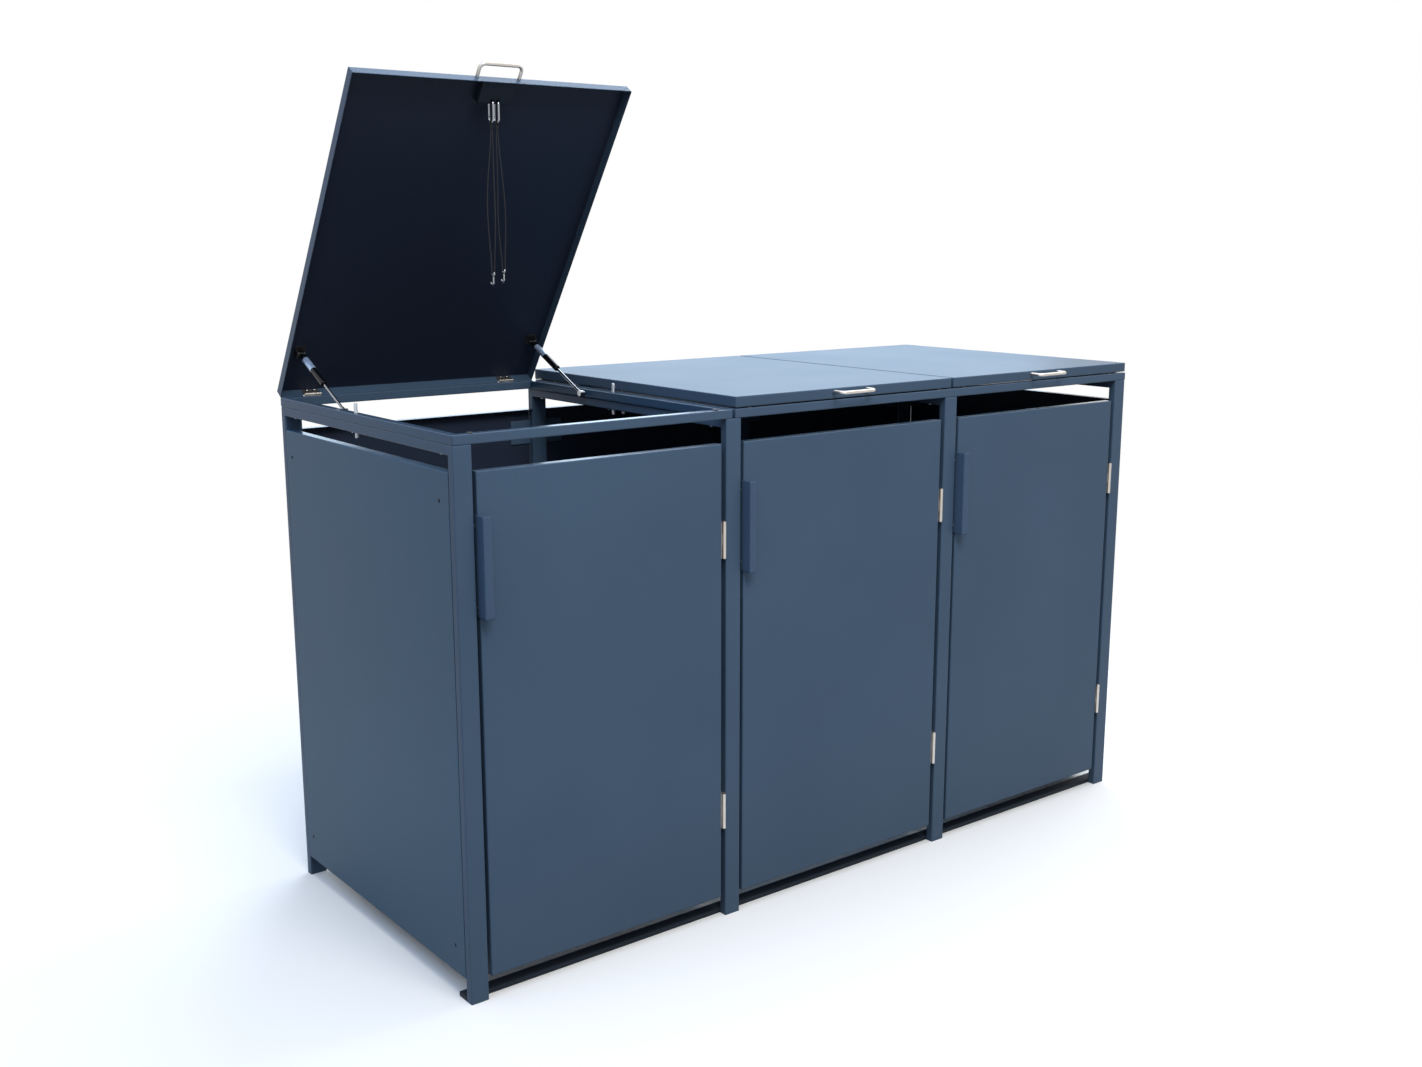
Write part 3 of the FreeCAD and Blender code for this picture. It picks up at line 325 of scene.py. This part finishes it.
def polished_chrome():
    """Chromed steel rod and wire, with faint handling marks of a few mm. Its grey is set darker than
    bare chrome, as painted shade in its reflections of dark surroundings.
    """
    material, tree, shader, place = surface("polished_chrome", {"Metallic": 1.0})
    marks = add(tree, "ShaderNodeTexNoise", {"Scale": 1 / (4 * MM), "Detail": 4.0},
                {"Vector": place})["Fac"]
    shade = add(tree, "ShaderNodeMix", {"data_type": "RGBA", 6: linear("#888c92"),
                                        7: linear("#b0b4b9")}, {0: marks})[2]
    tree.links.new(shade, shader.inputs["Base Color"])
    rough = add(tree, "ShaderNodeMapRange", {"To Min": 0.06, "To Max": 0.14}, {"Value": marks})[0]
    tree.links.new(rough, shader.inputs["Roughness"])
    return material


def black_lacquer():
    """Baked gloss lacquer on the strut cylinders: deep black with crisp highlights."""
    material, tree, shader, place = surface("black_lacquer", {"IOR": 1.36})
    film = add(tree, "ShaderNodeTexNoise", {"Scale": 1 / (5 * MM), "Detail": 2.0},
               {"Vector": place})["Fac"]
    shade = add(tree, "ShaderNodeMix", {"data_type": "RGBA", 6: linear("#060709"),
                                        7: linear("#0d0f13")}, {0: film})[2]
    tree.links.new(shade, shader.inputs["Base Color"])
    rough = add(tree, "ShaderNodeMapRange", {"To Min": 0.08, "To Max": 0.16}, {"Value": film})[0]
    tree.links.new(rough, shader.inputs["Roughness"])
    return material


def blackened_steel():
    """Bolts and plates in black oxide: dull, with a faint brown bloom in patches of a few mm."""
    material, tree, shader, place = surface("blackened_steel", {"IOR": 1.6})
    bloom = add(tree, "ShaderNodeTexNoise", {"Scale": 1 / (4 * MM), "Detail": 4.0},
                {"Vector": place})["Fac"]
    shade = add(tree, "ShaderNodeMix", {"data_type": "RGBA", 6: linear("#131418"),
                                        7: linear("#292624")}, {0: bloom})[2]
    tree.links.new(shade, shader.inputs["Base Color"])
    rough = add(tree, "ShaderNodeMapRange", {"To Min": 0.38, "To Max": 0.6}, {"Value": bloom})[0]
    tree.links.new(rough, shader.inputs["Roughness"])
    return material


def moulded(name, colour, worn, roughness):
    """Moulded plastic or rubber: matt, with the mould's fine spark-eroded grain.

    The grain is about 0.1 mm and is drawn at 0.8 mm, or it wouldn't show.
    """
    material, tree, shader, place = surface(name, {"IOR": 1.5})
    texture = add(tree, "ShaderNodeTexNoise", {"Scale": 1 / (0.8 * MM), "Detail": 3.0},
                  {"Vector": place})["Fac"]
    shade = add(tree, "ShaderNodeMix", {"data_type": "RGBA", 6: linear(colour), 7: linear(worn)},
                {0: texture})[2]
    tree.links.new(shade, shader.inputs["Base Color"])
    rough = add(tree, "ShaderNodeMapRange", {"To Min": roughness - 0.06, "To Max": roughness + 0.06},
                {"Value": texture})[0]
    tree.links.new(rough, shader.inputs["Roughness"])
    relief = add(tree, "ShaderNodeBump", {"Strength": 0.4, "Distance": 0.05 * MM},
                 {"Height": texture})[0]
    tree.links.new(relief, shader.inputs["Normal"])
    return material


def braided_polyester():
    """Round cord braided from black yarn: soft and matt, each yarn a touch lighter on its back.

    The yarns' own fibres are 0.02 mm thick and are drawn at 0.4 mm, or they wouldn't show.
    """
    material, tree, shader, place = surface("braided_polyester", {"IOR": 1.5, "Sheen Weight": 0.06,
                                                                  "Sheen Roughness": 0.5})
    yarn = add(tree, "ShaderNodeTexNoise", {"Scale": 1 / (0.4 * MM), "Detail": 2.0},
               {"Vector": place})["Fac"]
    shade = add(tree, "ShaderNodeMix", {"data_type": "RGBA", 6: linear("#0c0c0f"),
                                        7: linear("#24242a")}, {0: yarn})[2]
    tree.links.new(shade, shader.inputs["Base Color"])
    rough = add(tree, "ShaderNodeMapRange", {"To Min": 0.75, "To Max": 0.9}, {"Value": yarn})[0]
    tree.links.new(rough, shader.inputs["Roughness"])
    return material


def silver_film():
    """Metallised film round each strut: pale blue grey, with slight wrinkles about 7 mm apart. Its
    tone runs in wrinkle-sized patches from blue grey to near white: print, with painted glints in
    the near white.
    """
    material, tree, shader, place = surface("silver_film", {"Metallic": 0.6})
    wrinkle_and_glint = add(tree, "ShaderNodeTexNoise", {"Scale": 1 / (7 * MM), "Detail": 2.0},
                 {"Vector": place})["Fac"]
    shade = add(tree, "ShaderNodeMix", {"data_type": "RGBA", 6: linear("#86a6cc"),
                                        7: linear("#d4e2f4")}, {0: wrinkle_and_glint})[2]
    tree.links.new(shade, shader.inputs["Base Color"])
    rough = add(tree, "ShaderNodeMapRange", {"To Min": 0.25, "To Max": 0.4}, {"Value": wrinkle_and_glint})[0]
    tree.links.new(rough, shader.inputs["Roughness"])
    relief = add(tree, "ShaderNodeBump", {"Strength": 0.3, "Distance": 0.05 * MM},
                 {"Height": wrinkle_and_glint})[0]
    tree.links.new(relief, shader.inputs["Normal"])
    return material


# Powder coats by slot, or by node where one differs as painted light: colour, shade, roughness
# and level
COATS = {
    "frame_paint": ("#475b70", "#4d6277", 0.36, 1.0),
    "door_paint": ("#475b70", "#4d6277", 0.42, 1.0),
    "handle_paint": ("#465a70", "#4c6178", 0.4, 0.0),
    "panel_paint": ("#45596e", "#4b6075", 0.42, 0.6),
    "lid_paint": ("#42566a", "#485d72", 0.36, 0.0),
    # The left side panel is the same paint, tinted bluer as painted light from the left
    "side_panel_left": ("#37566d", "#3e5f75", 0.42, 0.6),
}

# Near-black coat for the brackets and rivets; on the threshold bar its near black is also painted shade under the
# doors
DARK_COAT_AND_SILL_SHADE = powder_coat("powder_coat_near_black", "#1a222c", "#222b36", 0.5)
STAINLESS_ACROSS = brushed_stainless("stainless_brushed_across", 0)
STAINLESS_UPRIGHT = brushed_stainless("stainless_brushed_upright", 2)
ZINC = zinc_plate()
CHROME = polished_chrome()
CORD_YARN = braided_polyester()
FILM = silver_film()

FINISHES = {
    "frame_paint": powder_coat("powder_coat_tube", *COATS["frame_paint"]),
    "door_paint": powder_coat("powder_coat_door_sheet", *COATS["door_paint"]),
    "handle_paint": powder_coat("powder_coat_door_handle", *COATS["handle_paint"]),
    "bracket_paint": DARK_COAT_AND_SILL_SHADE,
    # The threshold bar is near black as painted shade, the darkness low under the doors
    "bar_paint": DARK_COAT_AND_SILL_SHADE,
    "dark_rivets": DARK_COAT_AND_SILL_SHADE,
    "stainless": STAINLESS_ACROSS,
    "zinc_steel": ZINC,
    "black_steel": blackened_steel(),
    "strut_paint": black_lacquer(),
    "rod_steel": CHROME,
    "buffer_rubber": moulded("moulded_grey_rubber", "#31353b", "#3c4046", 0.6),
    "plug_plastic": moulded("moulded_black_plastic", "#101114", "#1a1b1f", 0.5),
    "cord_fibre": CORD_YARN,
    "clip_steel": CHROME,
}

# Nodes with one face of another tone: which way it looks, and its colour. The faces that look
# left at the left end are painted a little bluer, as painted light from the left, and the insides
# of the trays are painted darker, as painted shade. Lid 1 rests at LID_OPEN.
LID_OPEN = math.radians(56)
PAINTED_TRAY_SHADE = "#2b3343"
PAINTED_LEFT_LIGHT = "#335069"
PAINTED_FACE_LIGHT = {
    "side_frame_left": ((-1, 0, 0), PAINTED_LEFT_LIGHT),
    "top_frame_single": ((-1, 0, 0), PAINTED_LEFT_LIGHT),
    "side_panel_left": ((1, 0, 0), PAINTED_TRAY_SHADE),
    "side_panel_right": ((-1, 0, 0), PAINTED_TRAY_SHADE),
    "back_panel_1": ((0, -1, 0), PAINTED_TRAY_SHADE),
    "back_panel_2": ((0, -1, 0), PAINTED_TRAY_SHADE),
    "back_panel_3": ((0, -1, 0), PAINTED_TRAY_SHADE),
    "lid_1": ((0, -math.sin(LID_OPEN), -math.cos(LID_OPEN)), PAINTED_TRAY_SHADE),
    "lid_2": ((0, 0, -1), PAINTED_TRAY_SHADE),
    "lid_3": ((0, 0, -1), PAINTED_TRAY_SHADE),
}


def finish_of(name, slot):
    """A CAD node's finish: one of its own, or else its slot's."""
    # A node with a face of painted light or shade gets a coat of its own
    if name in PAINTED_FACE_LIGHT:
        coat = COATS.get(name, COATS[slot])
        return powder_coat("powder_coat_" + name, *coat, *PAINTED_FACE_LIGHT[name])
    if name.startswith("door_hinge"):
        return STAINLESS_UPRIGHT
    if name.startswith("snap"):
        return CHROME
    return FINISHES[slot]


def finish_cad_nodes():
    """Each CAD node gets its finish in place of the plain one it comes with."""
    for entry in frame["record"]["subparts"]:
        materials = frame["nodes"][entry["node"]].data.materials
        materials.clear()
        materials.append(finish_of(entry["node"], entry["material_slot"]))


finish_cad_nodes()


# Cords: each is doubled, from its knot down, round a clip's eye and back up to the knot.
# Route points in mm from the middle of the knot's lower face.
CORD_DIAMETER = 2.5 * MM
CORD_SIDES = 20
CORD_ROUTES = {
    "cord_left": [
        (-1.6, 0.0, 0.0), (-2.6, 0.8, -30.0), (-7.0, 3.2, -76.0), (-11.6, 4.6, -126.0),
        (-13.8, 3.0, -177.0), (-12.6, 0.6, -226.0), (-10.4, -0.8, -262.0), (-9.7, -1.0, -283.0),
        (-9.5, -1.0, -294.0), (-9.5, -1.0, -301.5), (-2.5, -1.0, -301.5), (-2.5, -1.0, -294.0),
        (-2.6, -1.2, -283.0), (-2.0, -2.6, -260.0), (-0.4, -4.8, -220.0), (0.4, -5.6, -170.0),
        (-0.2, -4.2, -120.0), (1.2, -1.8, -72.0), (1.9, -0.4, -30.0), (1.6, 0.0, 0.0),
    ],
    "cord_right": [
        (1.6, 0.0, 0.0), (2.4, -0.9, -32.0), (6.2, -3.0, -80.0), (10.8, -3.6, -130.0),
        (14.6, -1.6, -178.0), (15.0, 1.4, -224.0), (13.4, 2.6, -258.0), (12.7, 2.8, -278.0),
        (12.5, 2.8, -288.5), (12.5, 2.8, -296.0), (5.5, 2.8, -296.0), (5.5, 2.8, -288.5),
        (5.6, 3.1, -278.0), (4.6, 4.6, -256.0), (2.0, 6.8, -216.0), (0.4, 6.6, -168.0),
        (0.8, 4.4, -120.0), (-0.8, 1.6, -74.0), (-1.9, 0.4, -32.0), (-1.6, 0.0, 0.0),
    ],
}
BRAID_PITCH = 6 * MM
BRAID_STEP = 0.4 * MM
BRAID_DEPTH = 0.3 * MM
YARNS_EACH_WAY = 4
ROUTE_STEPS = 24

# The knot at the hook: a loop, two turns wound below it and the two strands inside them
KNOT_LENGTH = 7.5 * MM
KNOT_RADIUS = 4 * MM
LOOP_RADIUS = 3.9 * MM
LOOP_RISE = 11.4 * MM
LOOP_STEPS = 60
WOUND_TURNS = 2
WOUND_STEPS = 120
STRAND_OFFSET = 1.3 * MM
STRAND_POINTS = 20


def smooth_line(points):
    """Points along the NURBS line that a route's points control."""
    curve = bpy.data.curves.new("route", "CURVE")
    curve.dimensions = "3D"
    curve.resolution_u = ROUTE_STEPS
    spline = curve.splines.new("NURBS")
    spline.points.add(len(points) - 1)
    for control, place in zip(spline.points, points):
        control.co = (*place, 1)
    spline.order_u = 3
    spline.use_endpoint_u = True
    route = bpy.data.objects.new("route", curve)
    bpy.context.collection.objects.link(route)
    bpy.context.view_layer.update()
    mesh = bpy.data.meshes.new_from_object(route)
    line = np.array([vertex.co for vertex in mesh.vertices])
    bpy.data.objects.remove(route)
    return line


def evened(line, step):
    """The same line with its points step apart."""
    lengths = np.concatenate([[0], np.cumsum(np.linalg.norm(np.diff(line, axis=0), axis=1))])
    wanted = np.linspace(0, lengths[-1], round(lengths[-1] / step) + 1)
    return [Vector(point) for point in zip(*[np.interp(wanted, lengths, line[:, i]) for i in range(3)])]


def braid(step, turn):
    """The cord's radius where two sets of yarns cross, four each way round."""
    along = 2 * math.pi * step * BRAID_STEP / BRAID_PITCH
    right_hand = math.cos(YARNS_EACH_WAY * (turn + along))
    left_hand = math.cos(YARNS_EACH_WAY * (turn - along))
    return CORD_DIAMETER / 2 - BRAID_DEPTH * (0.5 - 0.5 * right_hand * left_hand)


def hook_feet():
    """The middle of each knot's lower face."""
    return [Vector(((low.x + high.x) / 2, (low.y + high.y) / 2, low.z))
            for low, high in solids("cord_knots")]


def wound_knots():
    """Each cord's loop round its hook, and the turns wound about both of its strands."""
    shapes = []
    for foot in hook_feet():
        loop = []
        for step in range(LOOP_STEPS + 1):
            turn = 2 * math.pi * step / LOOP_STEPS
            loop.append(foot + Vector((LOOP_RADIUS * math.sin(turn), 0,
                                       LOOP_RISE - LOOP_RADIUS * math.cos(turn))))
        shapes.append(tube(loop, braid, CORD_SIDES))
        winding = KNOT_LENGTH - CORD_DIAMETER
        barrel = KNOT_RADIUS - CORD_DIAMETER / 2
        turns = []
        for step in range(WOUND_STEPS + 1):
            turn = 2 * math.pi * WOUND_TURNS * step / WOUND_STEPS
            turns.append(foot + Vector((barrel * math.cos(turn), barrel * math.sin(turn),
                                        CORD_DIAMETER / 2 + winding * (1 - step / WOUND_STEPS))))
        shapes.append(tube(turns, braid, CORD_SIDES))
        for side in (-1, 1):
            strand = [foot + Vector((side * STRAND_OFFSET, 0, BRAID_STEP * step))
                      for step in range(STRAND_POINTS)]
            shapes.append(tube(strand, braid, CORD_SIDES))
    return piece("knots_wound", shapes, CORD_YARN, "snap_hooks", ["cord_knots"])


def braided_cords(knots):
    """Each cord as a braided tube along its route."""
    for foot, (node, route) in zip(hook_feet(), CORD_ROUTES.items()):
        line = evened(smooth_line([foot + Vector(point) * MM for point in route]), BRAID_STEP)
        cord = piece(node + "_braided", [tube(line, braid, CORD_SIDES)], CORD_YARN, "snap_hooks",
                     [node])


braided_cords(wound_knots())


# Fasteners. The studs are M8 rod.
STUD_RADIUS = 4 * MM
STUD_PITCH = 1.25 * MM
THREAD_DEPTH = 0.6 * STUD_PITCH
THREAD_SIDES = 18
RINGS_PER_PITCH = 6

SCREW_SHANK = 2.5 * MM
SCREW_HEAD = 4 * MM
SCREW_RISE = 3 * MM
SCREW_SIDES = 48

# Of the screw head's radius: its shoulder, the rings over its top, and its cross recess
SHOULDER_RADIUS = 0.9
TOP_RINGS = (0.78, 0.66, 0.56, 0.5, 0.44, 0.34, 0.24, 0.14, 0.05)
RECESS_REACH = 0.5
RECESS_HALF_WIDTH = 0.14

# Of the screw head's rise: its side wall, its shoulder, how far its top domes and its recess
WALL_RISE = 0.45
SHOULDER_RISE = 0.75
TOP_DOME = 0.25
RECESS_DEPTH = 0.45

# A blind rivet's flange stands this proud of the sheet, and its bulb this far behind it, in mm
RIVET_RISE = 0.8
RIVET_BULB = 1.0

# The bolts on the lids' rear flanges. Of a lid's fixings only their nuts are this narrow. A tip
# starts this far from the middle of its nut, and its outline is in mm from there.
NUT_WIDTH = 8 * MM
TIP_START = 1.5 * MM
TIP_OUTLINE = ((0, 2.3), (0.9, 2.3), (1.3, 1.7), (1.5, 0.3))

# The film on the struts' cylinders, along them from the lid's ball studs
CYLINDER_RADIUS = 7.5 * MM
FILM_START = 26 * MM
FILM_END = 71 * MM
FILM_THICK = 0.12 * MM
FILM_EDGE = 0.1 * MM
FILM_SIDES = 36


def threaded(base, along, length):
    """A rod with a rolled thread and chamfered ends."""
    first, second = across(along)
    steps = round(length / STUD_PITCH * RINGS_PER_PITCH)
    rings = []
    for step in range(steps + 1):
        distance = length * step / steps
        chamfer = min(distance, length - distance, STUD_PITCH) / STUD_PITCH

        def reach(turn):
            flank = abs((distance / STUD_PITCH - turn / (2 * math.pi)) % 1 * 2 - 1)
            return STUD_RADIUS - THREAD_DEPTH * (flank + (1 - flank) * (1 - chamfer))

        rings.append(ring(base + along * distance, first, second, THREAD_SIDES, reach))
    return skinned(rings)


def clamp_studs():
    """Rod, cut to length, up through a side frame's rail and the top frame on it."""
    shapes = []
    for low, high in solids("clamp_studs"):
        base = Vector(((low.x + high.x) / 2, (low.y + high.y) / 2, low.z))
        shapes.append(threaded(base, UP, high.z - low.z))
    piece("clamp_studs_threaded", shapes, ZINC, "root", ["clamp_studs"])


def cross_recess_screw(seat, along, length):
    """A pan-head screw: along points out of the head, seat is under it."""
    first, second = across(along)
    profile = [(-length, SCREW_SHANK), (0, SCREW_SHANK), (0, SCREW_HEAD),
               (WALL_RISE * SCREW_RISE, SCREW_HEAD),
               (SHOULDER_RISE * SCREW_RISE, SHOULDER_RADIUS * SCREW_HEAD)]
    rings = [ring(seat + along * distance, first, second, SCREW_SIDES, lambda turn: radius)
             for distance, radius in profile]
    for share in TOP_RINGS:
        top = seat + along * SCREW_RISE * (1 - TOP_DOME * share ** 2)
        points = ring(top, first, second, SCREW_SIDES, lambda turn: share * SCREW_HEAD)
        for side, point in enumerate(points):
            turn = 2 * math.pi * side / SCREW_SIDES
            beside = min(abs(math.cos(turn)), abs(math.sin(turn))) * share
            if share < RECESS_REACH and beside < RECESS_HALF_WIDTH:
                points[side] = point - along * RECESS_DEPTH * SCREW_RISE
        rings.append(points)
    return skinned(rings)


def frame_screws():
    """Pan-head screws driven up through the side frames' rails."""
    shapes = []
    for low, high in solids("frame_screws"):
        seat = Vector(((low.x + high.x) / 2, (low.y + high.y) / 2, low.z + SCREW_RISE))
        shapes.append(cross_recess_screw(seat, -UP, high.z - seat.z))
    piece("frame_screws_cross_recess", shapes, ZINC, "root", ["frame_screws"])


def blind_rivet(face, out, grip):
    """A pulled rivet through a grip in mm.

    Its outline runs from the bulb behind the sheet, along the shank and over the domed flange to
    the end of its broken mandrel.
    """
    bulb = [(-grip - RIVET_BULB, 0.9), (-grip - 0.85, 1.9), (-grip - 0.4, 2.45), (-grip, 2.5)]
    shank = [(-grip, 1.6), (0, 1.6)]
    flange = [(0, 4.0), (0.12, 4.0), (0.4, 3.6), (0.64, 2.8), (0.78, 1.7), (RIVET_RISE, 1.15)]
    mandrel = [(0.68, 1.0), (0.35, 0.95), (0.35, 0.55), (0.5, 0.45), (0.5, 0.05)]
    return turned(face, out, [(distance * MM, radius * MM)
                              for distance, radius in bulb + shank + flange + mandrel])


def rivets(name, material, body, node, out_of):
    """Rivets of a CAD node; out_of gives the way out of the sheet at a solid's box."""
    shapes = []
    for low, high in solids(node):
        out = out_of(low, high)
        middle = (low + high) / 2
        depth = abs((high - low).dot(out))
        face = middle + out * (depth / 2 - RIVET_RISE * MM)
        shapes.append(blind_rivet(face, out, depth / MM - RIVET_RISE - RIVET_BULB))
    piece(name, shapes, material, body, [node])


def out_of_panel(low, high):
    """Side panels face left or right, back panels to the back."""
    if high.x - low.x < high.y - low.y:
        return Vector((math.copysign(1, low.x), 0, 0))
    return Vector((0, 1, 0))


def out_of_handle(low, high):
    """The handles' riveted flanges face left."""
    return Vector((-1, 0, 0))


def hinge_bolt_tips(number):
    """The bright ends of the bolts that stand out of the dark nuts on a lid's rear flange."""
    inward = Vector((0, -1, 0))
    if number == 1:
        inward = Matrix.Rotation(-LID_OPEN, 3, "X") @ inward
    profile = [(distance * MM, radius * MM) for distance, radius in TIP_OUTLINE]
    shapes = []
    for low, high in solids(f"lid_fixings_{number}"):
        if high.x - low.x < NUT_WIDTH:
            shapes.append(turned((low + high) / 2 + inward * TIP_START, inward, profile))
    piece(f"hinge_bolt_tips_{number}", shapes, ZINC, f"lid_{number}")


def strut_films(number):
    """The silver film wrapped round each cylinder of a lid's struts, near the lid."""
    joints = {joint["name"]: joint for joint in frame["joints"]}
    pivot = Vector(joints[f"strut_{number}_swing"]["pos_m"])
    along = Vector(joints[f"strut_{number}_slide"]["axis"]).normalized()
    outside = CYLINDER_RADIUS + FILM_THICK
    profile = [(FILM_START, CYLINDER_RADIUS), (FILM_START + FILM_EDGE, outside),
               (FILM_END, outside), (FILM_END + FILM_EDGE, CYLINDER_RADIUS)]
    shapes = []
    for low, high in solids(f"strut_cylinders_{number}"):
        base = Vector(((low.x + high.x) / 2, pivot.y, pivot.z))
        shapes.append(turned(base, along, profile, FILM_SIDES, False))
    piece(f"strut_films_{number}", shapes, FILM, f"strut_cylinders_{number}")


clamp_studs()
frame_screws()
rivets("panel_rivets_domed", DARK_COAT_AND_SILL_SHADE, "root", "panel_rivets", out_of_panel)
for bay in (1, 2, 3):
    rivets(f"handle_rivets_domed_{bay}", ZINC, f"door_{bay}", f"handle_rivets_{bay}",
           out_of_handle)
    hinge_bolt_tips(bay)
    strut_films(bay)


# Studio: a plain pale floor and plain soft light, most of it from above. The floor turns from pale
# to plain white between two distances from the middle.
FLOOR_HALF = 40.0
PALE_TO = 1.2
WHITE_FROM = 3.0

# Each lamp's place, size, watts and colour
LAMPS_AIM = Vector((0, 0, 0.7))
LAMPS = {
    "front": ((-1.0, -3.6, 5.8), (3.0, 3.0), 250, "#ffffff"),
    "left": ((-3.8, -0.6, 5.6), (3.0, 3.0), 100, "#a4ccff"),
    "right": ((4.2, 0.0, 5.4), (3.0, 3.0), 110, "#ffffff"),
    "back": ((2.6, 3.4, 5.8), (3.0, 3.0), 135, "#e4efff"),
    "horizon": ((2.8, 4.9, 2.2), (6.0, 2.4), 60, "#b0dcff"),
}


def white_for_the_eye(tree, seen, felt):
    """seen for rays from the eye, mirrors and glass; felt for the light on the object."""
    rays = add(tree, "ShaderNodeLightPath")
    mirror = add(tree, "ShaderNodeMath", {"operation": "MAXIMUM"},
                 {0: rays["Is Camera Ray"], 1: rays["Is Glossy Ray"]})[0]
    either = add(tree, "ShaderNodeMath", {"operation": "MAXIMUM"},
                 {0: mirror, 1: rays["Is Transmission Ray"]})[0]
    return add(tree, "ShaderNodeMixShader", links={0: either, 1: felt, 2: seen})[0]


def make_world():
    """White behind the store, and a soft cold sky for its light, dimmer towards the horizon."""
    world = bpy.data.worlds.new("studio")
    bpy.context.scene.world = world
    world.use_nodes = True
    tree = world.node_tree
    tree.nodes.clear()
    white = add(tree, "ShaderNodeBackground", {"Color": (1, 1, 1, 1), "Strength": 1.0})[0]
    direction = add(tree, "ShaderNodeTexCoord")["Generated"]
    height = add(tree, "ShaderNodeSeparateXYZ", links={0: direction})["Z"]
    strength = add(tree, "ShaderNodeMapRange", {"From Min": 0.0, "From Max": 1.0, "To Min": 0.2,
                                                "To Max": 1.0}, {"Value": height})[0]
    soft = add(tree, "ShaderNodeBackground", {"Color": linear("#dde9fb")}, {"Strength": strength})[0]
    add(tree, "ShaderNodeOutputWorld", links={0: white_for_the_eye(tree, white, soft)})


def make_floor():
    """Pale round the store, where it keeps the shadow, and plain white further out."""
    material = bpy.data.materials.new("floor")
    material.use_nodes = True
    tree = material.node_tree
    tree.nodes.clear()
    place = add(tree, "ShaderNodeTexCoord")["Object"]
    far = add(tree, "ShaderNodeVectorMath", {"operation": "LENGTH"}, {0: place})["Value"]
    share = add(tree, "ShaderNodeMapRange", {"interpolation_type": "SMOOTHSTEP", "From Min": PALE_TO,
                                             "From Max": WHITE_FROM}, {"Value": far})[0]
    near = add(tree, "ShaderNodeBsdfDiffuse", {"Color": linear("#f3efe9")})[0]
    white = add(tree, "ShaderNodeEmission", {"Color": (1, 1, 1, 1), "Strength": 1.0})[0]
    pale = add(tree, "ShaderNodeMixShader", links={0: share, 1: near, 2: white})[0]
    dim = add(tree, "ShaderNodeBsdfDiffuse", {"Color": linear("#787878")})[0]
    add(tree, "ShaderNodeOutputMaterial", links={0: white_for_the_eye(tree, pale, dim)})
    mesh = bpy.data.meshes.new("floor")
    corners = [(x * FLOOR_HALF, y * FLOOR_HALF, 0) for x, y in ((-1, -1), (1, -1), (1, 1), (-1, 1))]
    mesh.from_pydata(corners, [], [(0, 1, 2, 3)])
    mesh.materials.append(material)
    floor = bpy.data.objects.new("floor", mesh)
    bpy.context.collection.objects.link(floor)


def make_lamps():
    """Soft boxes round the store, each aimed at its middle."""
    for name, (place, (width, height), watts, colour) in LAMPS.items():
        data = bpy.data.lights.new(name, "AREA")
        data.shape = "RECTANGLE"
        data.size = width
        data.size_y = height
        data.energy = watts
        data.color = linear(colour)[:3]
        lamp = bpy.data.objects.new(name, data)
        lamp.location = place
        lamp.rotation_euler = (lamp.location - LAMPS_AIM).to_track_quat("Z", "Y").to_euler()
        lamp.visible_camera = False
        bpy.context.collection.objects.link(lamp)


bpy.context.scene.view_settings.view_transform = "Standard"
make_world()
make_floor()
make_lamps()
